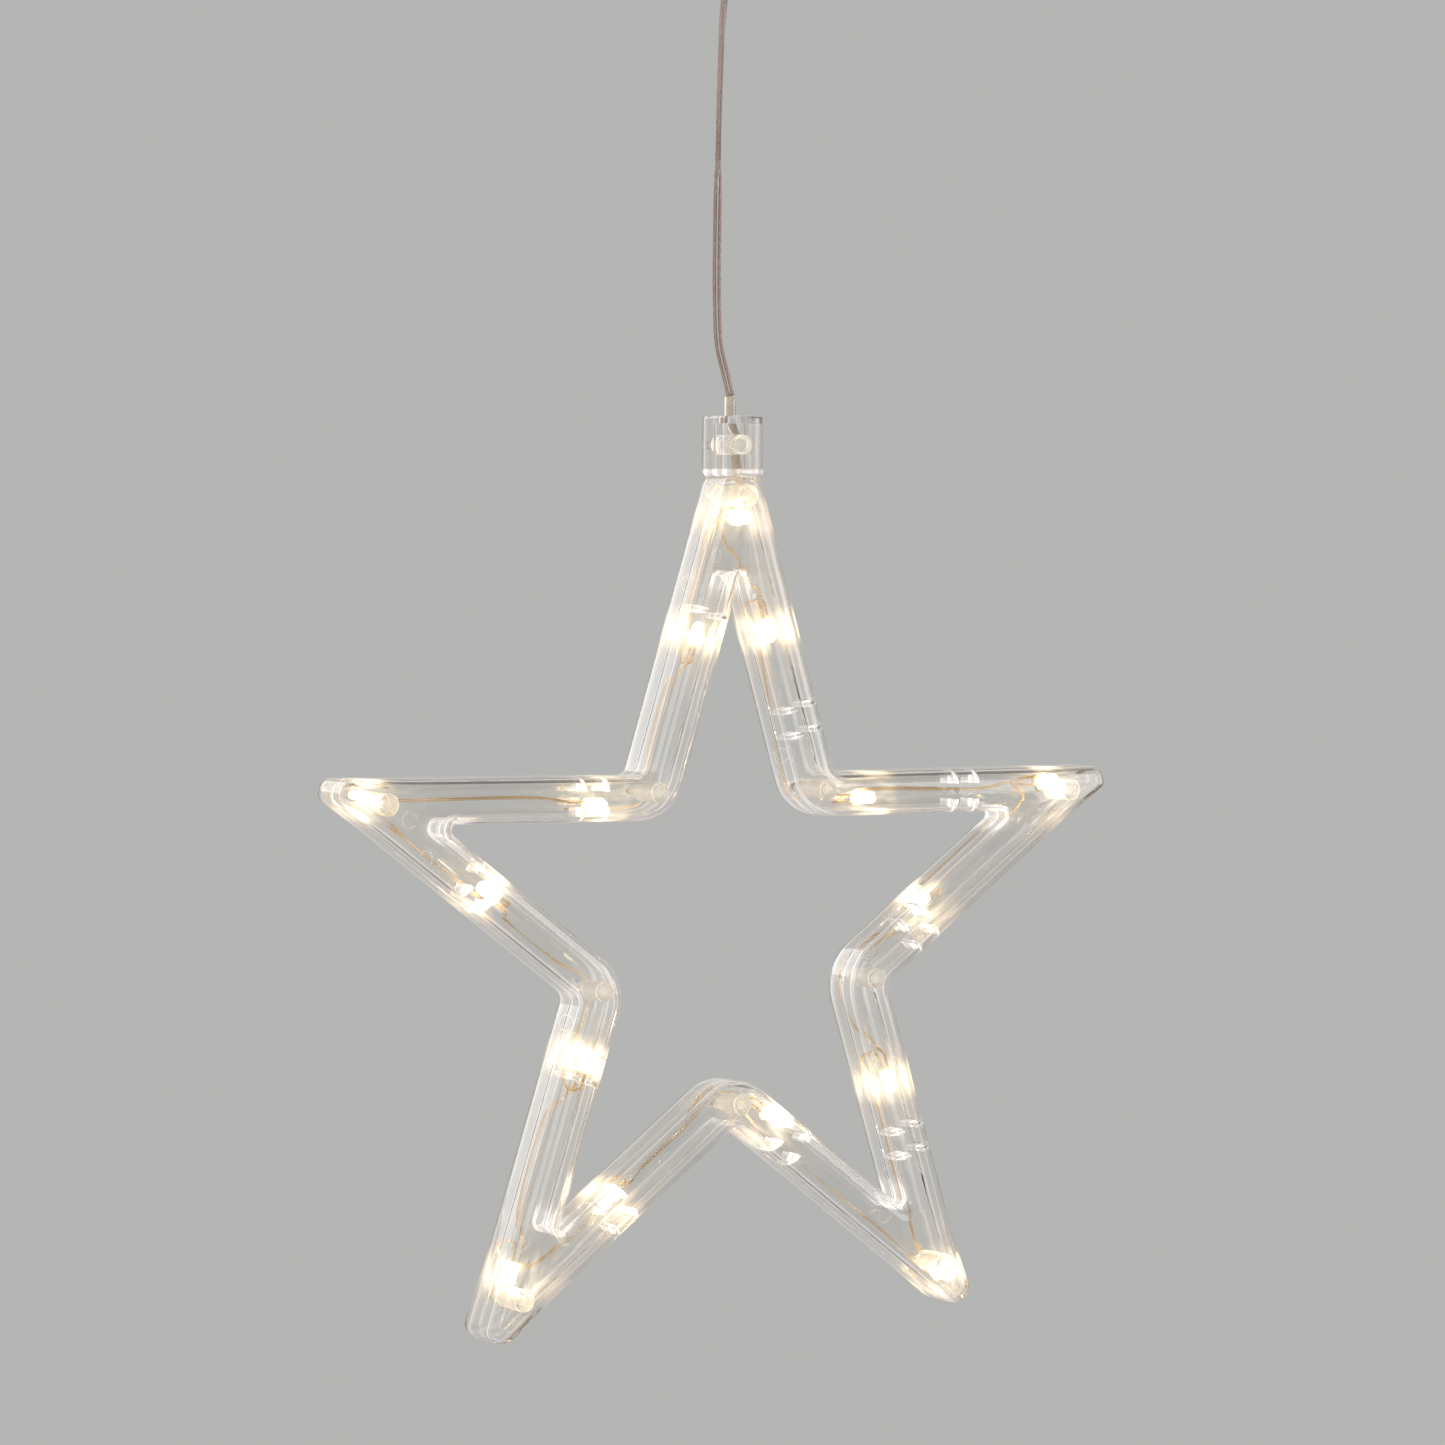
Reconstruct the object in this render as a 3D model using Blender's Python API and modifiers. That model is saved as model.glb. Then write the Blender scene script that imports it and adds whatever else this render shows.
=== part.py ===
"""LED Christmas star: a clear five-pointed star of box-section arms that hangs by its flat twin lead.

Metres, +Z up, the star faces -Y. The origin is the centre of the ceiling plate's flat top face.
The star's own pieces are drawn round the star's centre, which hangs star_drop below the origin.
Arms count clockwise as seen from the front: arm 1 runs from the top tip to the first inner corner.
A place inside an arm is (distance along it, offset outwards from its centreline, depth +Y).
"""

import math

import bmesh
import bpy
from mathutils import Matrix, Vector

# Star outline
tip_count = 5
star_radius = 0.105  # centre to where two arm centrelines cross at a tip
inner_corner_radius = 0.0396
tip_reach = 0.0091  # from that crossing out to a tip's flat end
top_reach = 0.0030  # the same at the top tip, which is cut for the cap
spike_cut = 0.0030  # from where two inner walls would cross back to their small flat
tip_fillet = 0.0012
spike_fillet = 0.0011
notch_fillet = 0.0015
hole_fillet = 0.0100
tip_flat_loss_share = 0.7
tip_fillet_loss_share = 0.8
fillet_reach_share = 0.45

# Arm section
arm_half_width = 0.0053
arm_half_depth = 0.0079
arm_corner = 0.0039
wall = 0.0011
seam_gap = 0.0003
clearance = 0.0003
root = 0.0002  # how far a rib, socket or post grows into the wall that carries it
overrun = 0.0010  # how far a cutter passes the face it opens
corner_steps = 3
tip_fillet_count = 2
notch_fillet_count = 5

# Ribs that hold the lamps, on the front shell
rib_thickness = 0.0011
rib_play = 0.00035  # between a lamp and the ribs beside it
rib_short = 0.0006  # the ribs stop this far from the seam
rib_pitch = 0.0063
rib_middle_odd_share = 0.7508  # of an arm's length, from its clockwise start
rib_middle_even_share = 0.5576

# Sockets on the front shell, pins on the rear shell
tip_socket_back = 0.0014  # from an arm crossing in to its socket
corner_socket_out = 0.0018  # from an inner corner out to its socket
tip_socket_radius = 0.0026
corner_socket_radius = 0.00235
socket_mouth = 0.0015
top_socket_mouth = 0.0044
socket_floor = -0.0055
pin_radius = 0.0009
pin_play = 0.0003
pin_reach = 0.0030
pin_collar_radius = 0.0011
pin_collar_length = 0.0016
round_sides = 16

# Cap over the top tip
cap_height = 0.0143
cap_top_wall = 0.0019
cap_rim = 0.0007
cap_hole_radius = 0.0021
cap_socket_side = -0.0017
cap_socket_height = 0.0074
cap_socket_radius = 0.0024
cap_socket_bore = 0.0013
cap_socket_mouth = 0.0022
cap_post_radius = 0.0010
cap_post_reach = 0.0025
tab_half_width = 0.0023
tab_thickness = 0.0011
tab_height = 0.0020
tab_play = 0.0004

# Sleeve that leads the wires through the cap into the star. Its points are shares of the cap's inside:
# of its half-width, its half-depth and its outer height.
sleeve_radius = 0.00145
sleeve_wall = 0.00023
sleeve_step = 0.0011
sleeve_stand = 0.0038  # above the cap, to the middle of the slanted end
sleeve_tail = 0.0011  # below the cap's lower rim
sleeve_cut_lean = math.radians(27)
sleeve_shares = (
    (-0.18, 0.0, 1.34),
    (-0.18, 0.0, 0.99),
    (-0.13, 0.015, 0.853),
    (0.095, 0.10, 0.77),
    (0.50, 0.265, 0.643),
    (0.583, 0.338, 0.517),
    (0.524, 0.294, 0.371),
    (0.524, 0.206, 0.175),
)

# Lamps
lamp_radius = 0.0015
lamp_flange_radius = 0.00195
lamp_flange_thickness = 0.0009
lamp_back = 0.0024  # flange's rear face to the lamp's middle
lamp_front = 0.0034  # lamp's middle to the dome's top
lamp_sides = 10
dome_steps = 2
leg_radius = 0.00025
leg_sides = 6
leg_length = 0.0024
leg_pitch_half = 0.0009
lamp_from_tip = 0.0070  # along the arm from its crossing, for a lamp beside a tip's socket
# Places of the lamps. Offset and depth are shares of the play that a lamp has inside the arm.
# "arm": arm, share of its length, offset, depth, leg A outwards (1) or inwards (-1), dome forward (1) or
# back (-1) along the clockwise way. "ribs": the same, but along counts in rib pitches from the ribs' middle.
# "near": the same, but along is counted in lamp_from_tip from the arm's outer end.
# "tip": tip, radius in socket radii out from the socket, clockwise offset, depth, leg A clockwise (1) or
# not (-1).
lamp_place_shares = (
    ("tip", 0, -2.0, 0.15, -0.66, 1),
    ("arm", 1, 0.4505, -0.15, -0.22, 1, 1),
    ("arm", 2, 0.210, -0.72, 0.0, 1, 1),
    ("near", 2, 1.0, 0.97, -0.92, 1, 1),
    ("arm", 3, 0.640, -0.97, 0.90, -1, 1),
    ("arm", 4, 0.355, 0.08, -0.57, 1, 1),
    ("tip", 2, 1.85, -0.46, -0.22, -1),
    ("ribs", 5, 1.19, -0.97, -0.90, 1, -1),
    ("ribs", 6, -0.40, -0.2, 0.35, 1, 1),
    ("near", 7, 1.0, 0.97, -0.44, 1, -1),
    ("ribs", 7, 0.19, 0.0, -0.99, 1, 1),
    ("ribs", 8, -0.40, 0.0, -0.99, 1, 1),
    ("tip", 4, 2.08, 0.0, -0.66, -1),
    ("ribs", 9, 0.78, -0.97, 0.35, 1, 1),
    ("ribs", 10, -0.40, 0.0, -0.33, 1, 1),
)

# Wires from lamp to lamp
wire_radius = 0.0004
lead_radius = 0.00035
lead_offset = 0.0005
wire_lane = 0.0044  # depth of the lane that the wires keep to
wire_step = 0.0006
wire_turn = math.radians(20)
wire_sides = 6
cord_sides = 8
wire_run = 0.0130  # longest straight stretch between two points
stub = 0.0010  # a wire leaves its leg straight for this long
loop_reach = 0.0022
drop_run = 0.0065
side_lane = 0.0016
hole_lane = -0.0026
corner_lane_in = 0.0014  # from an inner corner in to the wires that round it
tip_lane_in = 0.0080  # from an arm crossing in to the wires that round it
# Where the wires pass a tip's socket: radius and clockwise offset in socket radii from its axis, and
# depth as a share of the shell's inner half-depth.
feed_shares = (
    (0.54, 1.31, 0.118),
    (-0.23, 1.385, 0.132),
    (-1.27, 1.385, 0.265),
    (-2.0, 1.15, 0.50),
    (-2.31, 0.69, 0.632),
)
return_shares = (
    (-3.77, -1.31, 0.735),
    (-2.46, -0.46, 0.824),
    (-1.46, 0.615, 0.794),
    (-0.69, 1.27, 0.588),
    (0.0, 1.42, 0.368),
    (0.85, 1.15, 0.294),
)
top_shares = ((-2.92, -0.115, 0.647), (-4.15, 0.54, 0.676))
low_right_in_shares = ((-1.4, -0.77, 0.68), (0.15, -0.81, 0.66))
low_right_out_shares = ((1.4, 0.62, 0.72), (0.0, 0.92, 0.69), (-1.4, 0.85, 0.66))
left_in_shares = ((-1.4, -0.69, 0.68), (0.15, -0.73, 0.66), (1.46, -0.50, 0.60))
left_out_shares = ((1.46, 0.50, 0.60), (0.15, 0.73, 0.66), (-1.4, 0.69, 0.68))
near_tip_share = 0.17  # of an arm's length, where a wire settles into its lane after a tip
past_tip_share = 0.25
past_corner_share = 0.14

# Ceiling fitting, above the star
plate_radius = 0.0200
plate_thickness = 0.0025
plate_stem_radius = 0.0050
plate_stem_gap = 0.0026  # between the stem's end and the cover's floor
plate_bore = 0.0031
plate_bore_top = 0.0120
screw_at_share = 0.65  # of the plate's radius
screw_radius = 0.0015
screw_head_radius = 0.0029
screw_head_height = 0.0014
cover_rim_gap = 0.0011  # between the plate's edge and the cover
cover_drop = 0.0008  # the cover's rim hangs this far below the ceiling
cover_skirt = 0.0050
cover_bottom = 0.0260
cover_neck_radius = 0.0080
cover_wall = 0.0014
cover_steps = 7
grip_stem_top = 0.0150
grip_flange_radius = 0.0065
grip_flange_height = 0.0030
grip_mouth = 0.0410
grip_mouth_radius = 0.0030
grip_round = 0.0008
turned_sides = 32
star_drop = 0.2790

# Flat twin lead: its route above the star, from the sleeve up to the grip
cord_width = 0.0020
cord_step_shares = 2.5
cord_route = (
    (-0.0020, 0.0000, 0.1318),
    (-0.0042, 0.0000, 0.1394),
    (-0.0049, 0.0000, 0.1500),
    (-0.0050, 0.0000, 0.1737),
    (-0.0047, 0.0000, 0.2000),
    (-0.0036, 0.0000, 0.2211),
    (-0.0012, 0.0000, 0.2310),
    (0.0000, 0.0000, 0.2340),
)

# Derived
turn = math.tau / tip_count
tip_point = Vector((0.0, star_radius))
corner_point = inner_corner_radius * Vector((math.sin(turn / 2), math.cos(turn / 2)))
arm_length = (corner_point - tip_point).length
tip_half_angle = math.atan2(corner_point.x, tip_point.y - corner_point.y)
corner_half_angle = tip_half_angle + turn / 2
tip_flat_radius = star_radius + tip_reach
top_cut = star_radius + top_reach
spike_flat_radius = star_radius - arm_half_width / math.sin(tip_half_angle) - spike_cut
flat_half_depth = arm_half_depth - arm_corner
flat_half_width = arm_half_width - arm_corner
inner_half_depth = arm_half_depth - wall
inner_half_width = arm_half_width - wall
tip_socket_at = star_radius - tip_socket_back
corner_socket_at = inner_corner_radius + corner_socket_out
socket_bore = pin_radius + pin_play
pin_collar_end = inner_half_depth - pin_collar_length
rib_gap_half = lamp_radius + rib_play
tab_far = inner_half_depth - tab_play
tab_top = top_cut + tab_height
cap_bottom = top_cut + clearance
cap_top = cap_bottom + cap_height
cap_ceiling = cap_top - cap_top_wall
cap_socket_z = cap_bottom + cap_socket_height
sleeve_hole = sleeve_radius + clearance
sleeve_cut_z = cap_top + sleeve_stand
sleeve_route = [
    (x * inner_half_width, y * inner_half_depth, cap_bottom + z * cap_height) for x, y, z in sleeve_shares
]
sleeve_route.append((*sleeve_route[-1][:2], cap_bottom - sleeve_tail))
cord_low_end = sleeve_cut_z + sleeve_radius * math.tan(sleeve_cut_lean) + clearance
lamp_swing = inner_half_width - lamp_flange_radius - clearance
lamp_depth_swing = inner_half_depth - lamp_flange_radius - clearance
cover_radius = plate_radius + cover_rim_gap + cover_wall
plate_stem_end = cover_bottom - cover_wall - plate_stem_gap
grip_stem_radius = plate_bore - clearance
screw_at = plate_radius * screw_at_share
star_centre = Vector((0.0, 0.0, -star_drop))
swing_at = Vector((0.0, 0.0, -grip_mouth))
twist_at = star_centre + Vector((sleeve_route[0][0], 0.0, cord_low_end))


def heading(index):
    """Angle of tip index, from +X towards +Z."""
    return math.pi / 2 - turn * index


def polar(radius, angle, depth=0.0):
    return Vector((radius * math.cos(angle), depth, radius * math.sin(angle)))


def arm_axes(arm):
    """Start, clockwise direction and outward direction of an arm's centreline."""
    k = (arm - 1) // 2
    tip = polar(star_radius, heading(k))
    if arm % 2:
        start, end = tip, polar(inner_corner_radius, heading(k) - turn / 2)
    else:
        start, end = polar(inner_corner_radius, heading(k) - turn / 2), polar(star_radius, heading(k + 1))
    along = (end - start).normalized()
    out = Vector((-along.z, 0.0, along.x))
    return start, along, out


def in_arm(arm, along, offset, depth):
    start, forward, out = arm_axes(arm)
    return start + forward * along + out * offset + Vector((0.0, depth, 0.0))


def in_tip(tip, radius, offset, depth):
    angle = heading(tip)
    return polar(radius, angle, depth) + Vector((math.sin(angle), 0.0, -math.cos(angle))) * offset


def fillet(before, corner, after, radius, count):
    """Points of a rounded corner, count of them from one side to the other."""
    to_before = (before - corner).normalized()
    to_after = (after - corner).normalized()
    half = to_before.angle(to_after) / 2
    longest = fillet_reach_share * min((before - corner).length, (after - corner).length)
    reach = min(radius / math.tan(half), longest)
    radius = reach * math.tan(half)
    centre = corner + (to_before + to_after).normalized() * (radius / math.sin(half))
    first = corner + to_before * reach - centre
    last = corner + to_after * reach - centre
    sweep = first.angle(last)
    points = []
    for i in range(count):
        share = i / (count - 1)
        arm = first * math.sin((1 - share) * sweep) + last * math.sin(share * sweep)
        points.append(centre + arm / math.sin(sweep))
    return points


def outline(offset, outside, inset, skin):
    """The star's outline at an offset from the arm centrelines, as points (x, z).

    outside says which side of the tube it is on, inset how far the section has rounded in from that
    side, and skin how far the whole surface lies inside the outer one."""
    rounding = arm_corner - skin
    corners = []
    for k in range(tip_count):
        axis = Vector((math.cos(heading(k)), math.sin(heading(k))))
        side = Vector((axis.y, -axis.x))
        apex = star_radius + offset / math.sin(tip_half_angle)
        if not outside:
            radius = spike_flat_radius + skin + inset
            half = (apex - radius) * math.tan(tip_half_angle)
            rounded = spike_fillet + skin + inset
        elif k == 0:
            radius = top_cut - skin
            half = (apex - radius) * math.tan(tip_half_angle)
            rounded = tip_fillet * (1 - tip_fillet_loss_share * inset / rounding) / 2
        else:
            outermost = star_radius + (arm_half_width - skin) / math.sin(tip_half_angle)
            widest = (outermost - tip_flat_radius + skin) * math.tan(tip_half_angle)
            half = widest * (1 - tip_flat_loss_share * inset / rounding)
            radius = apex - half / math.tan(tip_half_angle)
            rounded = tip_fillet * (1 - tip_fillet_loss_share * inset / rounding)
        corners.append((axis * radius - side * half, rounded, tip_fillet_count))
        corners.append((axis * radius + side * half, rounded, tip_fillet_count))
        middle = heading(k) - turn / 2
        radius = inner_corner_radius + offset / math.sin(corner_half_angle)
        rounded = notch_fillet + skin + inset if outside else hole_fillet - skin - inset
        corners.append((Vector((math.cos(middle), math.sin(middle))) * radius, rounded, notch_fillet_count))
    points = []
    for i, (corner, rounded, count) in enumerate(corners):
        points += fillet(corners[i - 1][0], corner, corners[(i + 1) % len(corners)][0], rounded, count)
    return points


def section(skin):
    """Stations (offset, depth, outside, inset) once round the half-section, outer side first."""
    radius = arm_corner - skin
    stations = [(arm_half_width - skin, seam_gap / 2, True, 0.0)]
    for i in range(corner_steps + 1):
        a = math.pi / 2 * i / corner_steps
        inset = radius * (1 - math.cos(a))
        stations.append((arm_half_width - skin - inset, flat_half_depth + radius * math.sin(a), True, inset))
    for offset, depth, _, inset in reversed(stations[:]):
        stations.append((-offset, depth, False, inset))
    return stations


def loft(name, rings):
    """A closed body from a cycle of rings with equal counts of points."""
    bm = bmesh.new()
    rows = [[bm.verts.new(p) for p in ring] for ring in rings]
    for i, row in enumerate(rows):
        after = rows[(i + 1) % len(rows)]
        for j in range(len(row)):
            n = (j + 1) % len(row)
            bm.faces.new((row[j], row[n], after[n], after[j]))
    bmesh.ops.recalc_face_normals(bm, faces=bm.faces)
    mesh = bpy.data.meshes.new(name)
    bm.to_mesh(mesh)
    bm.free()
    return mesh


def half_shell(name, side):
    """Hollow half of the star tube, on the side -1 (front) or 1 (rear)."""
    rings = []
    for skin, stations in ((0.0, section(0.0)), (wall, section(wall)[::-1])):
        for offset, depth, outside, inset in stations:
            ring = outline(offset, outside, inset, skin)
            rings.append([Vector((p.x, side * depth, p.y)) for p in ring])
    return loft(name, rings)


def cylinder(bm, radius, start, end, sides=round_sides):
    """A closed cylinder between two points."""
    axis = end - start
    place = Matrix.Translation((start + end) / 2) @ axis.to_track_quat("Z", "Y").to_matrix().to_4x4()
    bmesh.ops.create_cone(
        bm, cap_ends=True, segments=sides, radius1=radius, radius2=radius, depth=axis.length, matrix=place
    )


def box(bm, low, high):
    size = Vector(high) - Vector(low)
    place = Matrix.Translation((Vector(high) + Vector(low)) / 2) @ Matrix.Diagonal((*size, 1.0))
    bmesh.ops.create_cube(bm, size=1.0, matrix=place)


def mesh_of(name, draw):
    bm = bmesh.new()
    draw(bm)
    mesh = bpy.data.meshes.new(name)
    bm.to_mesh(mesh)
    bm.free()
    return mesh


def rounded_block(name, half_width, half_depth, bottom, top, corner, rim):
    """Upright block with round vertical edges and small chamfers at the top and bottom rims."""
    bm = bmesh.new()
    box(bm, (-half_width, -half_depth, bottom), (half_width, half_depth, top))
    upright = [e for e in bm.edges if abs(e.verts[0].co.z - e.verts[1].co.z) > (top - bottom) / 2]
    bmesh.ops.bevel(bm, geom=upright, offset=corner, segments=corner_steps + 1, profile=0.5, affect="EDGES")
    if rim:
        level = [e for e in bm.edges if abs(e.verts[0].co.z - e.verts[1].co.z) < rim / 2]
        ends = [e for e in level if len(e.link_faces) == 2]
        flat = [e for e in ends if any(len(f.verts) > 4 for f in e.link_faces)]
        bmesh.ops.bevel(bm, geom=flat, offset=rim, segments=1, profile=0.5, affect="EDGES")
    bmesh.ops.recalc_face_normals(bm, faces=bm.faces)
    mesh = bpy.data.meshes.new(name)
    bm.to_mesh(mesh)
    bm.free()
    return mesh


def material(name, colour, roughness, metallic=0.0, transmission=0.0):
    mat = bpy.data.materials.new(name)
    mat.use_nodes = True
    shader = mat.node_tree.nodes["Principled BSDF"]
    shader.inputs["Base Color"].default_value = (*colour, 1.0)
    shader.inputs["Roughness"].default_value = roughness
    shader.inputs["Metallic"].default_value = metallic
    shader.inputs["Transmission Weight"].default_value = transmission
    mat.diffuse_color = (*colour, 1.0)
    return mat


def add(name, data, mat, parent=None, at=(0.0, 0.0, 0.0), turned=None):
    obj = bpy.data.objects.new(name, data)
    parts.objects.link(obj)
    obj.parent = parent
    obj.location = at
    if turned:
        obj.rotation_euler = turned.to_euler()
    if mat:
        obj.data.materials.append(mat)
    return obj


def tool(name, data, parent=None, at=(0.0, 0.0, 0.0)):
    """A cutter or an addition: used by a Boolean, never part of the object."""
    obj = bpy.data.objects.new(name, data)
    cutters.objects.link(obj)
    obj.parent = parent
    obj.location = at
    obj.hide_render = True
    obj.display_type = "WIRE"
    return obj


def combine(obj, other, operation):
    step = obj.modifiers.new(other.name, "BOOLEAN")
    step.operation = operation
    step.object = other


def smooth(mesh, limit=math.radians(35)):
    mesh.shade_smooth()
    mesh.set_sharp_from_angle(angle=limit)


def turned_piece(name, profile, mat, parent=None, at=(0.0, 0.0, 0.0), sides=turned_sides, target=add):
    """A profile of (radius, height), run down its outer side, turned round the vertical axis."""
    mesh = bpy.data.meshes.new(name)
    closed = profile[0] == profile[-1]
    points = profile[:-1] if closed else profile
    edges = [(i, i + 1) for i in range(len(points) - 1)]
    if closed:
        edges.append((len(points) - 1, 0))
    mesh.from_pydata([(r, 0.0, z) for r, z in points], edges, [])
    obj = target(name, mesh, mat, parent, at) if target is add else target(name, mesh, parent, at)
    screw = obj.modifiers.new("turned", "SCREW")
    screw.steps = sides
    screw.render_steps = sides
    screw.use_merge_vertices = True
    screw.merge_threshold = 0.00001
    return obj


def smooth_line(points, step):
    """A smooth curve through the route's points, read every step."""
    route = [Vector(p) for p in points]
    ends = [route[0] * 2 - route[1]] + route + [route[-1] * 2 - route[-2]]
    line = [route[0]]
    for a, b, c, d in zip(ends, ends[1:], ends[2:], ends[3:]):
        t1 = (b - a).length ** 0.5
        t2 = t1 + (c - b).length ** 0.5
        t3 = t2 + (d - c).length ** 0.5
        count = max(1, math.ceil((c - b).length / step))
        for i in range(1, count + 1):
            t = t1 + (t2 - t1) * i / count
            p = a.lerp(b, t / t1)
            q = b.lerp(c, (t - t1) / (t2 - t1))
            r = c.lerp(d, (t - t2) / (t3 - t2))
            u = p.lerp(q, t / t2)
            v = q.lerp(r, (t - t1) / (t3 - t1))
            line.append(u.lerp(v, (t - t1) / (t2 - t1)))
    return line


def thinned(line, most_turn, longest):
    """The same line with points only where it has turned or run far enough."""
    kept = [line[0], line[1]]
    for before, here, after in zip(line[1:], line[2:], line[3:]):
        old = kept[-1] - kept[-2]
        if old.angle(after - here) > most_turn or (here - kept[-1]).length > longest:
            if (here - kept[-1]).length > wire_step / 2:
                kept.append(here)
    return kept + [line[-1]]


def evenly(line, spacing):
    """The line read again at equal distances."""
    lengths = [0.0]
    for a, b in zip(line, line[1:]):
        lengths.append(lengths[-1] + (b - a).length)
    count = max(2, round(lengths[-1] / spacing))
    points, i = [], 0
    for n in range(count + 1):
        want = lengths[-1] * n / count
        while i < len(lengths) - 2 and lengths[i + 1] < want:
            i += 1
        share = (want - lengths[i]) / (lengths[i + 1] - lengths[i])
        points.append(line[i].lerp(line[i + 1], min(1.0, share)))
    return points


def tube_curve(name, points, radius, sides, capped=True):
    curve = bpy.data.curves.new(name, "CURVE")
    curve.dimensions = "3D"
    curve.bevel_depth = radius
    curve.bevel_resolution = sides // 2 - 2
    curve.use_fill_caps = capped
    spline = curve.splines.new("POLY")
    spline.points.add(len(points) - 1)
    for point, place in zip(spline.points, points):
        point.co = (*place, 1.0)
    return curve


for old in list(bpy.data.objects):
    bpy.data.objects.remove(old)

parts = bpy.data.collections.new("led_christmas_star")
cutters = bpy.data.collections.new("cutters")
bpy.context.scene.collection.children.link(parts)
bpy.context.scene.collection.children.link(cutters)


def pivot(name, at, parent=None):
    empty = bpy.data.objects.new(name, None)
    parts.objects.link(empty)
    empty.location = at
    empty.parent = parent
    empty.empty_display_size = star_radius / 10
    return empty


swing_pivot = pivot("swing_pivot", swing_at)
twist_pivot = pivot("twist_pivot", twist_at - swing_at, swing_pivot)
in_star = star_centre - twist_at
on_cord = star_centre - swing_at

clear_front = material("clear_plastic_front", (0.90, 0.91, 0.92), 0.08, transmission=0.9)
clear_rear = material("clear_plastic_rear", (0.89, 0.90, 0.91), 0.10, transmission=0.9)
clear_cap_front = material("cap_plastic_front", (0.88, 0.89, 0.90), 0.10, transmission=0.9)
clear_cap_rear = material("cap_plastic_rear", (0.87, 0.88, 0.89), 0.10, transmission=0.9)
sleeve_plastic = material("sleeve_plastic", (0.78, 0.76, 0.72), 0.30, transmission=0.5)
cord_plastic = material("cord_plastic", (0.72, 0.60, 0.55), 0.25, transmission=0.4)
lamp_glass = material("lamp_epoxy", (1.0, 0.86, 0.55), 0.10, transmission=0.5)
wire_plastic = material("wire_insulation", (0.72, 0.52, 0.36), 0.30, transmission=0.3)
fitting_white = material("fitting_white", (0.85, 0.85, 0.83), 0.35)
grip_white = material("grip_white", (0.80, 0.80, 0.79), 0.40)
plate_steel = material("plate_steel", (0.60, 0.60, 0.60), 0.35, metallic=1.0)
screw_steel = material("screw_steel", (0.66, 0.66, 0.66), 0.25, metallic=1.0)


# Half-shells
def socket_places():
    for k in range(tip_count):
        mouth = top_socket_mouth if k == 0 else socket_mouth
        yield k, True, tip_socket_at, heading(k), tip_socket_radius, mouth
        yield k, False, corner_socket_at, heading(k) - turn / 2, corner_socket_radius, socket_mouth


def front_fittings(bm):
    far = -(inner_half_depth + root)
    for k, at_tip, radius, angle, size, mouth in socket_places():
        cylinder(bm, size, polar(radius, angle, far), polar(radius, angle, mouth))


def rib_middle(arm):
    return arm_length * (rib_middle_odd_share if arm % 2 else rib_middle_even_share)


def rib_outline():
    """Rib in (offset, depth): it follows the arm's rounded inner corner, grown into the wall."""
    reach = arm_corner - wall + root
    side = arm_half_width - wall + root
    points = [(rib_gap_half, -rib_short), (side, -rib_short), (side, -flat_half_depth)]
    for i in (1, 2):
        a = math.pi / 2 * i / corner_steps
        points.append((flat_half_width + reach * math.cos(a), -flat_half_depth - reach * math.sin(a)))
    a = math.acos((rib_gap_half - flat_half_width) / reach)
    points.append((rib_gap_half, -flat_half_depth - reach * math.sin(a)))
    return points


def ribs(bm):
    for arm in range(1, 2 * tip_count + 1):
        for along in (rib_middle(arm) - rib_pitch / 2, rib_middle(arm) + rib_pitch / 2):
            for side in (-1, 1):
                rows = []
                for s in (along - rib_thickness / 2, along + rib_thickness / 2):
                    rows.append([bm.verts.new(in_arm(arm, s, side * o, y)) for o, y in rib_outline()])
                faces = [bm.faces.new(rows[0]), bm.faces.new(rows[1][::-1])]
                for i in range(len(rows[0])):
                    n = (i + 1) % len(rows[0])
                    faces.append(bm.faces.new((rows[0][n], rows[0][i], rows[1][i], rows[1][n])))
                bmesh.ops.recalc_face_normals(bm, faces=faces)


def front_bores(bm):
    for k, at_tip, radius, angle, size, mouth in socket_places():
        cylinder(bm, socket_bore, polar(radius, angle, socket_floor), polar(radius, angle, mouth + overrun))


def rear_fittings(bm):
    far = inner_half_depth + root
    for k, at_tip, radius, angle, size, mouth in socket_places():
        collar = size if mouth == top_socket_mouth else pin_collar_radius
        collar_end = mouth + clearance if mouth == top_socket_mouth else pin_collar_end
        cylinder(bm, collar, polar(radius, angle, collar_end), polar(radius, angle, far))


def rear_pins(bm):
    for k, at_tip, radius, angle, size, mouth in socket_places():
        collar_end = mouth + clearance if mouth == top_socket_mouth else pin_collar_end
        cylinder(
            bm, pin_radius, polar(radius, angle, mouth - pin_reach), polar(radius, angle, collar_end + root)
        )


def lead_opening(bm):
    x, y, z = sleeve_route[-1]
    cylinder(bm, sleeve_hole, Vector((x, y, top_cut - wall - overrun)), Vector((x, y, tab_top + overrun)))


def cap_tab(side):
    def draw(bm):
        low, high = sorted((side * (tab_far - tab_thickness), side * tab_far))
        box(bm, (-tab_half_width, low, top_cut - wall / 2), (tab_half_width, high, tab_top))

    return draw


front_shell = add("front_shell", half_shell("front_shell", -1), clear_front, twist_pivot, in_star)
rear_shell = add("rear_shell", half_shell("rear_shell", 1), clear_rear, twist_pivot, in_star)
opening = tool("lead_opening", mesh_of("lead_opening", lead_opening), twist_pivot, in_star)
for obj, name, draw, operation in (
    (front_shell, "front_sockets", front_fittings, "UNION"),
    (front_shell, "front_ribs", ribs, "UNION"),
    (front_shell, "front_bores", front_bores, "DIFFERENCE"),
    (front_shell, "front_tab", cap_tab(-1), "UNION"),
    (rear_shell, "rear_collars", rear_fittings, "UNION"),
    (rear_shell, "rear_pins", rear_pins, "UNION"),
    (rear_shell, "rear_tab", cap_tab(1), "UNION"),
):
    combine(obj, tool(name, mesh_of(name, draw), twist_pivot, in_star), operation)
combine(front_shell, opening, "DIFFERENCE")
combine(rear_shell, opening, "DIFFERENCE")
smooth(front_shell.data)
smooth(rear_shell.data)


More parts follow.
